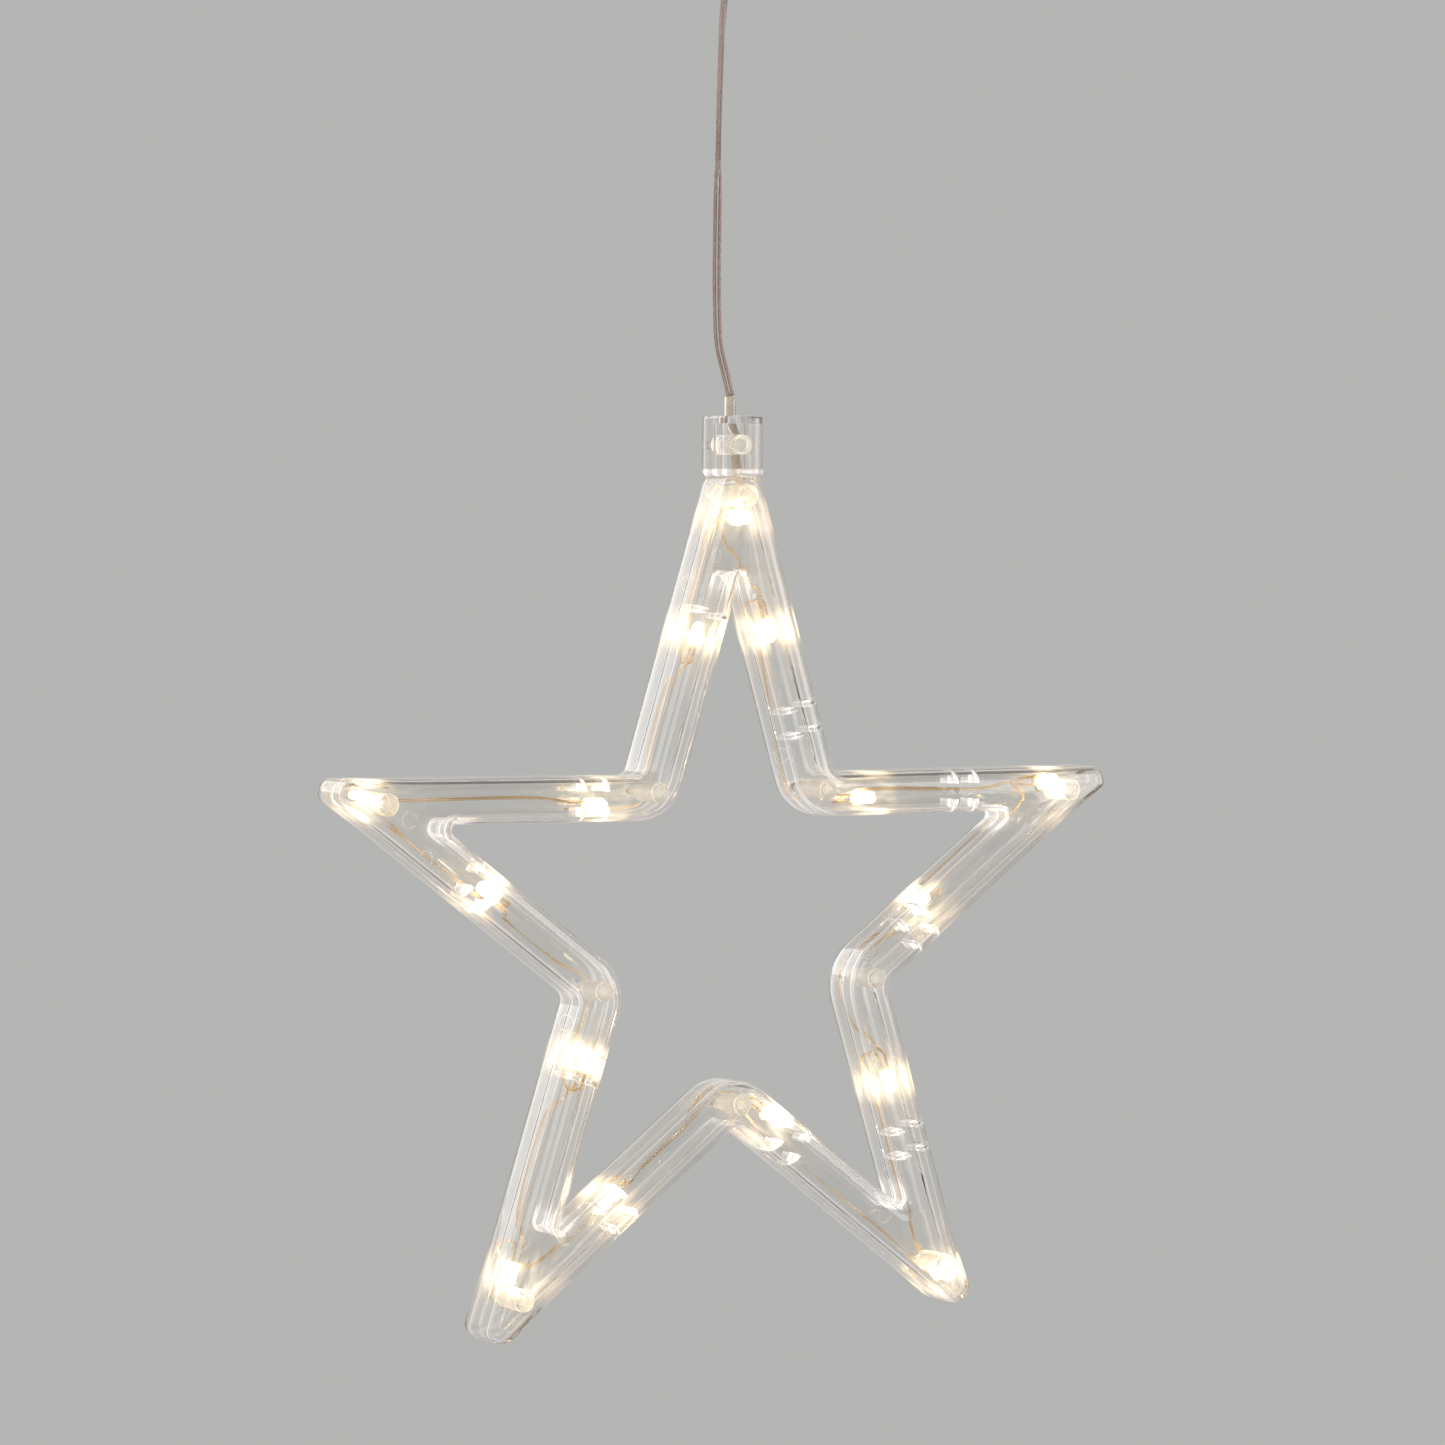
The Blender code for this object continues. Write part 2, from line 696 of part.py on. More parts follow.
# Cap halves
def cap_cavity():
    return rounded_block(
        "cap_cavity",
        inner_half_width,
        inner_half_depth,
        cap_bottom - overrun,
        cap_ceiling,
        arm_corner - wall,
        0.0,
    )


def cap_hole(bm):
    x, y, z = sleeve_route[0]
    cylinder(bm, cap_hole_radius, Vector((x, y, cap_ceiling - overrun)), Vector((x, y, cap_top + overrun)))


def beyond_seam(side):
    """Everything on the far side of the seam plane from the side -1 (front) or 1 (rear)."""
    far = arm_half_depth + overrun

    def draw(bm):
        low, high = sorted((side * seam_gap / 2, -side * far))
        box(
            bm,
            (-arm_half_width - overrun, low, cap_bottom - overrun),
            (arm_half_width + overrun, high, cap_top + overrun),
        )

    return draw


def cap_boss(radius, near, far):
    def draw(bm):
        place = Vector((cap_socket_side, 0.0, cap_socket_z))
        cylinder(bm, radius, place + Vector((0.0, near, 0.0)), place + Vector((0.0, far, 0.0)))

    return draw


cavity = tool("cap_cavity", cap_cavity(), twist_pivot, in_star)
hole = tool("cap_hole", mesh_of("cap_hole", cap_hole), twist_pivot, in_star)
for name, side, mat in (("cap_front", -1, clear_cap_front), ("cap_rear", 1, clear_cap_rear)):
    block = rounded_block(name, arm_half_width, arm_half_depth, cap_bottom, cap_top, arm_corner, cap_rim)
    half = add(name, block, mat, twist_pivot, in_star)
    combine(half, cavity, "DIFFERENCE")
    seam = tool(name + "_seam", mesh_of(name + "_seam", beyond_seam(side)), twist_pivot, in_star)
    combine(half, seam, "DIFFERENCE")
    combine(half, hole, "DIFFERENCE")
    if side < 0:
        near, far, size = -(inner_half_depth + root), cap_socket_mouth, cap_socket_radius
    else:
        near, far, size = cap_socket_mouth - cap_post_reach, inner_half_depth + root, cap_post_radius
    boss = mesh_of(name + "_boss", cap_boss(size, near, far))
    combine(half, tool(name + "_boss", boss, twist_pivot, in_star), "UNION")
    if side < 0:
        bore = mesh_of("cap_bore", cap_boss(cap_socket_bore, socket_floor, cap_socket_mouth + overrun))
        combine(half, tool("cap_bore", bore, twist_pivot, in_star), "DIFFERENCE")
    smooth(half.data)

# Sleeve: an open tube with a wall, its top cut at a slant
sleeve_line = evenly(smooth_line(sleeve_route, sleeve_step / 2), sleeve_step)
sleeve_tube = tube_curve("sleeve_guide", sleeve_line, sleeve_radius, cord_sides, capped=False)
guide = bpy.data.objects.new("sleeve_guide", sleeve_tube)
cutters.objects.link(guide)
bpy.context.view_layer.update()
sleeve_mesh = bpy.data.meshes.new_from_object(guide.evaluated_get(bpy.context.evaluated_depsgraph_get()))
bpy.data.objects.remove(guide)
sleeve = add("cable_sleeve", sleeve_mesh, sleeve_plastic, twist_pivot, in_star)
solid = sleeve.modifiers.new("wall", "SOLIDIFY")
solid.thickness = sleeve_wall
solid.offset = -1.0
slant = Matrix.Rotation(sleeve_cut_lean, 4, "Y")
cut_size = 8 * sleeve_radius


def slanted_cut(bm):
    place = Matrix.Translation((sleeve_route[0][0], 0.0, sleeve_cut_z)) @ slant
    bmesh.ops.create_cube(
        bm, size=cut_size, matrix=place @ Matrix.Translation((0.0, 0.0, cut_size / 2))
    )


combine(sleeve, tool("sleeve_cut", mesh_of("sleeve_cut", slanted_cut), twist_pivot, in_star), "DIFFERENCE")
smooth(sleeve.data)


# Lamps: one turned body with two legs, repeated
def lamp_profile():
    top = lamp_front - lamp_radius
    points = [(0.0, lamp_front)]
    for i in range(1, dome_steps + 1):
        a = math.pi / 2 * i / dome_steps
        points.append((lamp_radius * math.sin(a), top + lamp_radius * math.cos(a)))
    points.append((lamp_radius, lamp_flange_thickness - lamp_back))
    points.append((lamp_flange_radius, lamp_flange_thickness - lamp_back))
    points.append((lamp_flange_radius, -lamp_back))
    points.append((0.0, -lamp_back))
    return points


def lamp_legs(bm):
    for side in (-1, 1):
        x = side * leg_pitch_half
        cylinder(
            bm,
            leg_radius,
            Vector((x, 0.0, -lamp_back - leg_length)),
            Vector((x, 0.0, root - lamp_back)),
            leg_sides,
        )


def lamp_along(place):
    kind, arm, share = place[:3]
    if kind == "arm":
        return share * arm_length
    if kind == "near":
        return share * lamp_from_tip if arm % 2 else arm_length - share * lamp_from_tip
    return rib_middle(arm) + share * rib_pitch


def lamp_pose(place):
    """Middle, dome direction and leg direction (towards leg A) of a lamp."""
    if place[0] == "tip":
        _, tip, out_share, side_share, depth_share, leg_a = place
        radius = tip_socket_at + out_share * tip_socket_radius
        middle = in_tip(tip, radius, side_share * lamp_swing, depth_share * lamp_depth_swing)
        return middle, Vector((0.0, -1.0, 0.0)), in_tip(tip, 0.0, 1.0, 0.0) * leg_a
    kind, arm, along_share, side_share, depth_share, leg_a, way = place
    _, forward, out = arm_axes(arm)
    middle = in_arm(arm, lamp_along(place), side_share * lamp_swing, depth_share * lamp_depth_swing)
    return middle, forward * way, out * leg_a


lamp_guide = turned_piece("lamp_guide", lamp_profile(), None, sides=lamp_sides, target=tool)
legs_guide = tool("legs_guide", mesh_of("legs_guide", lamp_legs))
combine(lamp_guide, legs_guide, "UNION")
bpy.context.view_layer.update()
lamp_mesh = bpy.data.meshes.new_from_object(
    lamp_guide.evaluated_get(bpy.context.evaluated_depsgraph_get())
)
bpy.data.objects.remove(lamp_guide)
bpy.data.objects.remove(legs_guide)
lamp_mesh.name = "lamp"
lamp_mesh.materials.clear()
lamp_mesh.materials.append(lamp_glass)
smooth(lamp_mesh)

lamp_poses = [lamp_pose(place) for place in lamp_place_shares]
for number, (middle, dome, side) in enumerate(lamp_poses, 1):
    across = dome.cross(side)
    turned = Matrix((side, across, dome)).transposed()
    add(f"lamp_{number:02d}", lamp_mesh, None, twist_pivot, in_star + middle, turned)


# Wires
def leg_end(number, leg):
    """Where a wire meets a leg, 1 for leg A and -1 for leg B, with the way that the leg points."""
    middle, dome, side = lamp_poses[number]
    end = middle + side * (leg * leg_pitch_half) - dome * (lamp_back + leg_length + clearance)
    return end, -dome


def lane(arm, share, offset=0.0):
    """A place in the wires' lane, at a share of the arm's length."""
    return in_arm(arm, share * arm_length, offset, wire_lane)


def round_corner(k):
    return [polar(inner_corner_radius - corner_lane_in, heading(k) - turn / 2, wire_lane)]


def round_tip(k):
    return [polar(star_radius - tip_lane_in, heading(k), wire_lane)]


def by_socket(k, shares):
    """Places past a tip's socket, from shares of its radius and of the shell's inner half-depth."""
    places = []
    for out, side, depth in shares:
        radius = tip_socket_at + out * tip_socket_radius
        places.append(in_tip(k, radius, side * tip_socket_radius, depth * inner_half_depth))
    return places


def leg_place(number, leg):
    """Arm, distance along it to the lamp, offset of the leg, depth and way of a lamp in an arm."""
    place = lamp_place_shares[number]
    offset = place[3] * lamp_swing + leg * place[5] * leg_pitch_half
    return place[1], lamp_along(place), offset, place[4] * lamp_depth_swing, place[6]


def leaving(number, offset=0.0):
    """A wire's first points from leg B: straight off the leg, then into the lane."""
    end, away = leg_end(number, -1)
    points = [end, end + away * stub]
    if lamp_place_shares[number][0] == "tip":
        return points
    arm, along, beside, depth, way = leg_place(number, -1)
    deep = (wire_lane + depth) / 2
    reach = lamp_back + leg_length + clearance + stub
    if way < 0:
        points.append(in_arm(arm, along + reach + drop_run / 2, (beside + offset) / 2, deep))
        points.append(in_arm(arm, along + reach + drop_run, offset, wire_lane))
        return points
    if abs(wire_lane - depth) < loop_reach:
        points.append(in_arm(arm, along - reach - stub, (beside + offset) / 2, wire_lane))
        points.append(in_arm(arm, along - reach + stub, offset, wire_lane))
    else:
        points.append(in_arm(arm, along - reach - stub, beside, deep))
        points.append(in_arm(arm, along - reach + stub, beside, wire_lane))
    points.append(in_arm(arm, along + stub, offset, wire_lane))
    return points


def arriving(number, offset=0.0):
    """A wire's last points into leg A."""
    end, away = leg_end(number, 1)
    points = [end + away * stub, end]
    if lamp_place_shares[number][0] == "tip":
        return points
    arm, along, beside, depth, way = leg_place(number, 1)
    deep = (wire_lane + depth) / 2
    reach = lamp_back + leg_length + clearance + stub
    if way > 0:
        entry = in_arm(arm, along - reach - drop_run, offset, wire_lane)
        middle = in_arm(arm, along - reach - drop_run / 2, (beside + offset) / 2, deep)
        return [entry, middle] + points
    turning = [
        in_arm(arm, along, offset, wire_lane),
        in_arm(arm, along + reach - stub, beside, wire_lane),
        in_arm(arm, along + reach + stub, beside, deep),
    ]
    return turning + points


def lead_in_sleeve(offset):
    """Points of a lead inside the sleeve, top first."""
    side = Vector((0.0, offset, 0.0))
    top = Vector((sleeve_route[0][0], 0.0, sleeve_cut_z - sleeve_radius))
    return [top + side] + [Vector(p) + side for p in sleeve_route[1:]]


wire_routes = [
    lead_in_sleeve(-lead_offset) + by_socket(0, feed_shares) + arriving(0),
    leaving(0) + by_socket(0, top_shares) + [lane(1, past_tip_share)] + arriving(1),
    leaving(1) + round_corner(0) + arriving(2),
    leaving(2) + arriving(3),
    leaving(3)[:-1] + round_tip(1) + [lane(3, past_tip_share, hole_lane)] + arriving(4, hole_lane),
    leaving(4, side_lane) + round_corner(1) + arriving(5),
    leaving(5) + [lane(4, 1 - near_tip_share)] + by_socket(2, low_right_in_shares) + arriving(6),
    leaving(6) + by_socket(2, low_right_out_shares) + [lane(5, near_tip_share)] + arriving(7),
    leaving(7)[:-1] + round_corner(2) + [lane(6, near_tip_share)] + arriving(8),
    leaving(8) + [lane(6, 1 - near_tip_share)] + round_tip(3) + arriving(9)[1:],
    leaving(9) + arriving(10),
    leaving(10) + round_corner(3) + [lane(8, past_corner_share)] + arriving(11),
    leaving(11) + [lane(8, 1 - near_tip_share)] + by_socket(4, left_in_shares) + arriving(12),
    leaving(12) + by_socket(4, left_out_shares) + [lane(9, near_tip_share)] + arriving(13),
    leaving(13)[:-1] + round_corner(4) + [lane(10, past_corner_share)] + arriving(14),
    leaving(14)
    + [lane(10, 1 - past_tip_share)]
    + by_socket(0, return_shares)
    + lead_in_sleeve(lead_offset)[::-1],
]
wire_names = ["wire_feed"] + [f"wire_{n:02d}" for n in range(1, len(wire_routes) - 1)] + ["wire_return"]
for name, route in zip(wire_names, wire_routes):
    radius = lead_radius if name in ("wire_feed", "wire_return") else wire_radius
    line = thinned(smooth_line(route, wire_step), wire_turn, wire_run)
    add(name, tube_curve(name, line, radius, wire_sides), wire_plastic, twist_pivot, in_star)

# Flat twin lead, drawn as a plain tube as wide as the lead
cord_low = Vector((sleeve_route[0][0], 0.0, cord_low_end))
cord_top = Vector((0.0, 0.0, star_drop - grip_mouth - clearance))
cord_line = smooth_line([cord_low, *cord_route, cord_top], wire_step)
cord_line = evenly(cord_line, cord_width * cord_step_shares)
cord_tube = tube_curve("cord", cord_line, cord_width / 2, cord_sides)
cord = add("cord", cord_tube, cord_plastic, swing_pivot, on_cord)

# Ceiling fitting
plate = turned_piece(
    "ceiling_plate",
    [
        (0.0, 0.0),
        (plate_radius, 0.0),
        (plate_radius, -plate_thickness),
        (plate_stem_radius, -plate_thickness),
        (plate_stem_radius, -plate_stem_end),
        (plate_bore, -plate_stem_end),
        (plate_bore, -plate_bore_top),
        (0.0, -plate_bore_top),
    ],
    plate_steel,
)


def screw_profile(spare):
    head_top = -plate_thickness + screw_head_height
    return [
        (0.0, overrun if spare else -clearance),
        (screw_radius + spare, overrun if spare else -clearance),
        (screw_radius + spare, head_top + spare),
        (screw_head_radius + spare, -plate_thickness),
        (screw_head_radius + spare, -plate_thickness - (overrun if spare else root)),
        (0.0, -plate_thickness - (overrun if spare else root)),
    ]


for n, x in enumerate((-screw_at, screw_at)):
    cutter = turned_piece(
        f"screw_hole_{n}", screw_profile(clearance), None, at=(x, 0.0, 0.0), sides=round_sides, target=tool
    )
    combine(plate, cutter, "DIFFERENCE")
smooth(plate.data)

screws = [
    turned_piece(
        f"plate_screw_{n}", screw_profile(0.0), screw_steel, at=(x, 0.0, 0.0), sides=round_sides
    )
    for n, x in enumerate((-screw_at, screw_at), 1)
]


def bell(inset):
    """The cover's skirt and shoulder as (radius, height), from the rim down to the neck."""
    points = [(cover_radius - inset, -cover_skirt)]
    for i in range(1, cover_steps + 1):
        a = math.pi / 2 * i / cover_steps
        width = cover_radius - cover_neck_radius
        height = cover_bottom - cover_skirt
        points.append((cover_neck_radius + width * math.cos(a) - inset * math.cos(a),
                       -cover_skirt - height * math.sin(a) + inset * math.sin(a)))
    return points


outer = [(cover_radius, -cover_drop)] + bell(0.0) + [(plate_bore, -cover_bottom)]
inner = [(plate_bore, -cover_bottom + cover_wall)] + bell(cover_wall)[::-1]
inner.append((cover_radius - cover_wall, -cover_drop))
cover = turned_piece("ceiling_cover", outer + inner + outer[:1], fitting_white)

grip = turned_piece(
    "cord_grip",
    [
        (0.0, -grip_stem_top),
        (grip_stem_radius, -grip_stem_top),
        (grip_stem_radius, -cover_bottom - clearance),
        (grip_flange_radius, -cover_bottom - clearance),
        (grip_flange_radius, -cover_bottom - clearance - grip_flange_height),
        (grip_mouth_radius + grip_round, -grip_mouth + 2 * grip_round),
        (grip_mouth_radius, -grip_mouth),
        (0.0, -grip_mouth),
    ],
    grip_white,
)
for piece in (*screws, cover, grip):
    smooth(piece.data)
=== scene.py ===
import math

import bmesh
import bpy
from mathutils import Matrix, Vector


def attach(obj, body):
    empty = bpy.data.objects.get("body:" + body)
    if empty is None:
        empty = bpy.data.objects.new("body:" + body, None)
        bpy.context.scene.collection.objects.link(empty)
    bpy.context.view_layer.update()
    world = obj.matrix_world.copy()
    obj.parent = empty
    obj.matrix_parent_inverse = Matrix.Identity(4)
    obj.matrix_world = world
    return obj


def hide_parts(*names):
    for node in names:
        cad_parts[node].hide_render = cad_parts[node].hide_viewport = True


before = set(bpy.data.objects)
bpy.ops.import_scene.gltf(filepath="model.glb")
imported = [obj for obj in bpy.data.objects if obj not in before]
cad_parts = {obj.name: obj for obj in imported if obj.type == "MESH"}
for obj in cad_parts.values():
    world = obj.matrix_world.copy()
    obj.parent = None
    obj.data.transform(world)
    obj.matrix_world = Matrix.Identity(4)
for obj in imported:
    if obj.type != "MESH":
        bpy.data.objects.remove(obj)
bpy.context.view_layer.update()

# The star hangs below the ceiling plate, whose flat top is the origin. Metres, as in the part's source.
tip_count = 5
star_radius = 0.1050
inner_corner_radius = 0.0396
tip_reach = 0.0100
top_reach = 0.0030
spike_cut = 0.0030
tip_fillet = 0.0022
spike_fillet = 0.0011
notch_fillet = 0.0032
hole_fillet = 0.0125
tip_flat_loss_share = 0.7
tip_fillet_loss_share = 0.8
fillet_reach_share = 0.45
arm_half_width = 0.0053
arm_half_depth = 0.0079
arm_corner = 0.0039
tip_corner_share = 0.3
wall = 0.0011
seam_gap = 0.0003
clearance = 0.0003
root = 0.0002
overrun = 0.0010
star_drop = 0.2790
grip_mouth = 0.0410
cut_band = 0.0002  # between the two planes of a cut, so that the look changes at once
near_enough = 0.00005  # a place this close to a surface counts as on it

lamp_radius = 0.0015
lamp_flange_radius = 0.00195
lamp_flange_thickness = 0.0009
lamp_back = 0.0024
lamp_front = 0.0034
leg_radius = 0.00025
leg_length = 0.0024
leg_pitch_half = 0.0009

# Steps of the moulded shells: points round a tip, round a notch and along an arm, and stations round
# the section's corner, up its side and across its flat face
tip_steps = 5
notch_steps = 12
arm_steps = 28
ease_steps = 6
end_steps = 3
corner_steps = 7
side_steps = 2
flat_steps = 5

turn = math.tau / tip_count
tip_point = Vector((0.0, star_radius))
corner_point = inner_corner_radius * Vector((math.sin(turn / 2), math.cos(turn / 2)))
arm_length = (corner_point - tip_point).length
tip_half_angle = math.atan2(corner_point.x, tip_point.y - corner_point.y)
corner_half_angle = tip_half_angle + turn / 2
tip_flat_radius = star_radius + tip_reach
top_cut = star_radius + top_reach
spike_flat_radius = star_radius - arm_half_width / math.sin(tip_half_angle) - spike_cut
flat_half_depth = arm_half_depth - arm_corner
inner_half_depth = arm_half_depth - wall
inner_half_width = arm_half_width - wall
star_centre = Vector((0.0, 0.0, -star_drop))
rear_way = Vector((0.0, 1.0, 0.0))
up_way = Vector((0.0, 0.0, 1.0))


# Nodes
def node(tree, kind, inputs=(), **settings):
    """Add a node. Inputs pairs a socket's name or number with a value or with another node's output."""
    made = tree.nodes.new(kind)
    for name, value in settings.items():
        setattr(made, name, value)
    for name, value in dict(inputs).items():
        if isinstance(value, bpy.types.NodeSocket):
            tree.links.new(value, made.inputs[name])
        else:
            made.inputs[name].default_value = value
    return made


def group(name, kind, inputs, outputs):
    """A node group with named sockets: (name, socket type, default)."""
    tree = bpy.data.node_groups.new(name, kind)
    for label, socket_type, default in inputs:
        socket = tree.interface.new_socket(name=label, in_out="INPUT", socket_type=socket_type)
        if default is not None:
            socket.default_value = default
    for label, socket_type in outputs:
        tree.interface.new_socket(name=label, in_out="OUTPUT", socket_type=socket_type)
    return tree, node(tree, "NodeGroupInput").outputs, node(tree, "NodeGroupOutput")


def link_to(tree, taker, **sources):
    """Link outputs to a node's inputs, which are named with _ for a space."""
    for label, source in sources.items():
        tree.links.new(source, taker.inputs[label.replace("_", " ")])


def maths(tree, operation, *values, clamped=False):
    """The result of a Math node."""
    inputs = dict(enumerate(values))
    return node(tree, "ShaderNodeMath", inputs, operation=operation, use_clamp=clamped).outputs[0]


def vector_maths(tree, operation, first, second):
    """The result of a Vector Math node, whose second value is a number where it scales."""
    inputs = {0: first, "Scale" if operation == "SCALE" else 1: second}
    return node(tree, "ShaderNodeVectorMath", inputs, operation=operation).outputs[0]


def noise(tree, place, scale, **inputs):
    return node(tree, "ShaderNodeTexNoise", {"Vector": place, "Scale": scale, **inputs}).outputs[0]


def spread(tree, value, low, high, at_low=0.0, at_high=1.0, **settings):
    """A value's range from low to high, spread from at_low to at_high."""
    inputs = {"Value": value, "From Min": low, "From Max": high, "To Min": at_low, "To Max": at_high}
    return node(tree, "ShaderNodeMapRange", inputs, **settings).outputs[0]


def blended(tree, share, first, second):
    """A colour between two others."""
    return node(tree, "ShaderNodeMix", {0: share, 6: first, 7: second}, data_type="RGBA").outputs[2]


# Camera
camera_data = bpy.data.cameras.new("camera")
camera = bpy.data.objects.new("camera", camera_data)
bpy.context.scene.collection.objects.link(camera)
camera_data.sensor_width = 36.0
camera_data.lens = 126.95
camera_data.clip_end = 20.0
across = Vector((0.824356, -0.565979, 0.010258)).normalized()
backward = across.cross(Vector((0.010040, 0.032737, 0.999414))).normalized()
upward = backward.cross(across)
camera.matrix_world = (
    Matrix.Translation(star_centre + Vector((-0.69019, -1.00158, 0.08926)))
    @ Matrix((across, upward, backward)).transposed().to_4x4()
)
bpy.context.scene.camera = camera
bpy.context.scene.view_settings.view_transform = "Standard"


# Room
def studio_world():
    """Plain even light, and a pale backdrop that the camera sees; metal and glass see it too, with a painted
    dark reflection where they look steeply up or down.
    """
    world = bpy.data.worlds.new("studio")
    world.use_nodes = True
    tree = world.node_tree
    tree.nodes.clear()
    paths = node(tree, "ShaderNodeLightPath").outputs
    shown = maths(tree, "MAXIMUM", paths["Is Glossy Ray"], paths["Is Transmission Ray"])
    seen = maths(tree, "MAXIMUM", shown, paths["Is Camera Ray"])
    light = node(tree, "ShaderNodeBackground", {"Color": (0.96, 0.97, 1.0, 1.0), "Strength": 0.50})
    # Painted dark reflection: metal and glass see the backdrop darken where their rays run steeply up or
    # down, though the light stays even
    way = node(tree, "ShaderNodeTexCoord").outputs["Generated"]
    height = node(tree, "ShaderNodeSeparateXYZ", {0: way}).outputs["Z"]
    tilt = maths(tree, "ABSOLUTE", height)
    shade = spread(tree, tilt, 0.30, 0.75, interpolation_type="SMOOTHSTEP")
    bent = maths(tree, "SUBTRACT", 1.0, paths["Is Camera Ray"])
    share = maths(tree, "MULTIPLY", shade, bent)
    backdrop_with_dark_reflection = blended(tree, share, (0.46, 0.465, 0.455, 1.0), (0.12, 0.125, 0.12, 1.0))
    backdrop = node(tree, "ShaderNodeBackground", {"Color": backdrop_with_dark_reflection, "Strength": 1.0})
    mix = node(tree, "ShaderNodeMixShader", {0: seen, 1: light.outputs[0], 2: backdrop.outputs[0]})
    node(tree, "ShaderNodeOutputWorld", {"Surface": mix.outputs[0]})
    bpy.context.scene.world = world


def area_light(name, place, size, power):
    """A soft square light turned towards the star, hidden from rays through the plastic, against specks."""
    data = bpy.data.lights.new(name, "AREA")
    data.size = size
    data.energy = power
    light = bpy.data.objects.new(name, data)
    bpy.context.scene.collection.objects.link(light)
    light.location = place
    light.rotation_euler = (star_centre - Vector(place)).to_track_quat("-Z", "Y").to_euler()
    light.visible_transmission = False


studio_world()
area_light("key_light", (-1.6, -0.7, 0.8), 1.2, 14.0)
area_light("fill_light", (1.4, -1.1, 0.1), 0.9, 8.0)
area_light("rim_light", (-0.6, 1.6, 0.5), 1.0, 8.0)


# Effects shared by the materials
def moulding_marks_group():
    """Ripples, drawn-out flow lines and fine scratches of a moulded surface."""
    tree, given, out = group(
        "moulding_marks",
        "ShaderNodeTree",
        [
            ("Place", "NodeSocketVector", None),
            ("Ripple Scale", "NodeSocketFloat", 160.0),
            ("Flow Scale", "NodeSocketFloat", 900.0),
            ("Flow Stretch", "NodeSocketVector", (0.05, 1.0, 1.0)),
            ("Scratch Scale", "NodeSocketFloat", 330.0),
            ("Amount", "NodeSocketFloat", 1.0),
        ],
        [("Height", "NodeSocketFloat"), ("Haze", "NodeSocketFloat"), ("Scratch", "NodeSocketFloat")],
    )
    place, amount = given["Place"], given["Amount"]
    ripple = noise(tree, place, given["Ripple Scale"], Detail=2.0, Roughness=0.5)
    drawn = vector_maths(tree, "MULTIPLY", place, given["Flow Stretch"])
    flow = noise(tree, drawn, given["Flow Scale"], Detail=3.0, Roughness=0.6)
    lines = spread(tree, flow, 0.56, 0.70)
    relief = maths(tree, "MULTIPLY", lines, 0.35)
    height = maths(tree, "MULTIPLY", maths(tree, "ADD", ripple, relief), amount)
    haze = maths(tree, "MULTIPLY", lines, amount)
    curls = noise(tree, place, given["Scratch Scale"], Detail=1.0, Distortion=1.2)
    beside = maths(tree, "ABSOLUTE", maths(tree, "SUBTRACT", curls, 0.5))
    hair = spread(tree, beside, 0.002, 0.009, 1.0, 0.0)
    rubbed = noise(tree, place, given["Ripple Scale"], Detail=3.0, Roughness=0.7)
    scratch = maths(tree, "MULTIPLY", hair, spread(tree, rubbed, 0.58, 0.68))
    link_to(tree, out, Height=height, Haze=haze, Scratch=scratch)
    return tree


def lamp_light_group():
    """Warm light in the plastic round each lamp, white close by and drawn out in streaks, and a painted white
    glow on frosted faces.
    """
    tree, given, out = group(
        "lamp_light",
        "ShaderNodeTree",
        [
            ("Glow", "NodeSocketFloat", 0.0),
            ("Frost Glow", "NodeSocketFloat", 0.0),
            ("Place", "NodeSocketVector", None),
            ("Streak Scale", "NodeSocketFloat", 420.0),
            ("Streak Stretch", "NodeSocketVector", (0.22, 1.0, 1.0)),
            ("Near", "NodeSocketColor", (1.0, 0.92, 0.70, 1.0)),
            ("Far", "NodeSocketColor", (1.0, 0.66, 0.26, 1.0)),
        ],
        [("Color", "NodeSocketColor")],
    )
    drawn = vector_maths(tree, "MULTIPLY", given["Place"], given["Streak Stretch"])
    streaks = noise(tree, drawn, given["Streak Scale"], Detail=2.0, Roughness=0.65)
    light = maths(tree, "MULTIPLY", given["Glow"], spread(tree, streaks, 0.38, 0.62, 0.10, 1.60))
    tone = blended(tree, light, given["Far"], given["Near"])
    colour = vector_maths(tree, "SCALE", tone, light)
    # Painted glow: frosted faces glow in the near colour, rising with the cube of their frost
    held = maths(tree, "POWER", given["Frost Glow"], 3.0)
    caught = vector_maths(tree, "SCALE", given["Near"], held)
    link_to(tree, out, Color=vector_maths(tree, "ADD", colour, caught))
    return tree


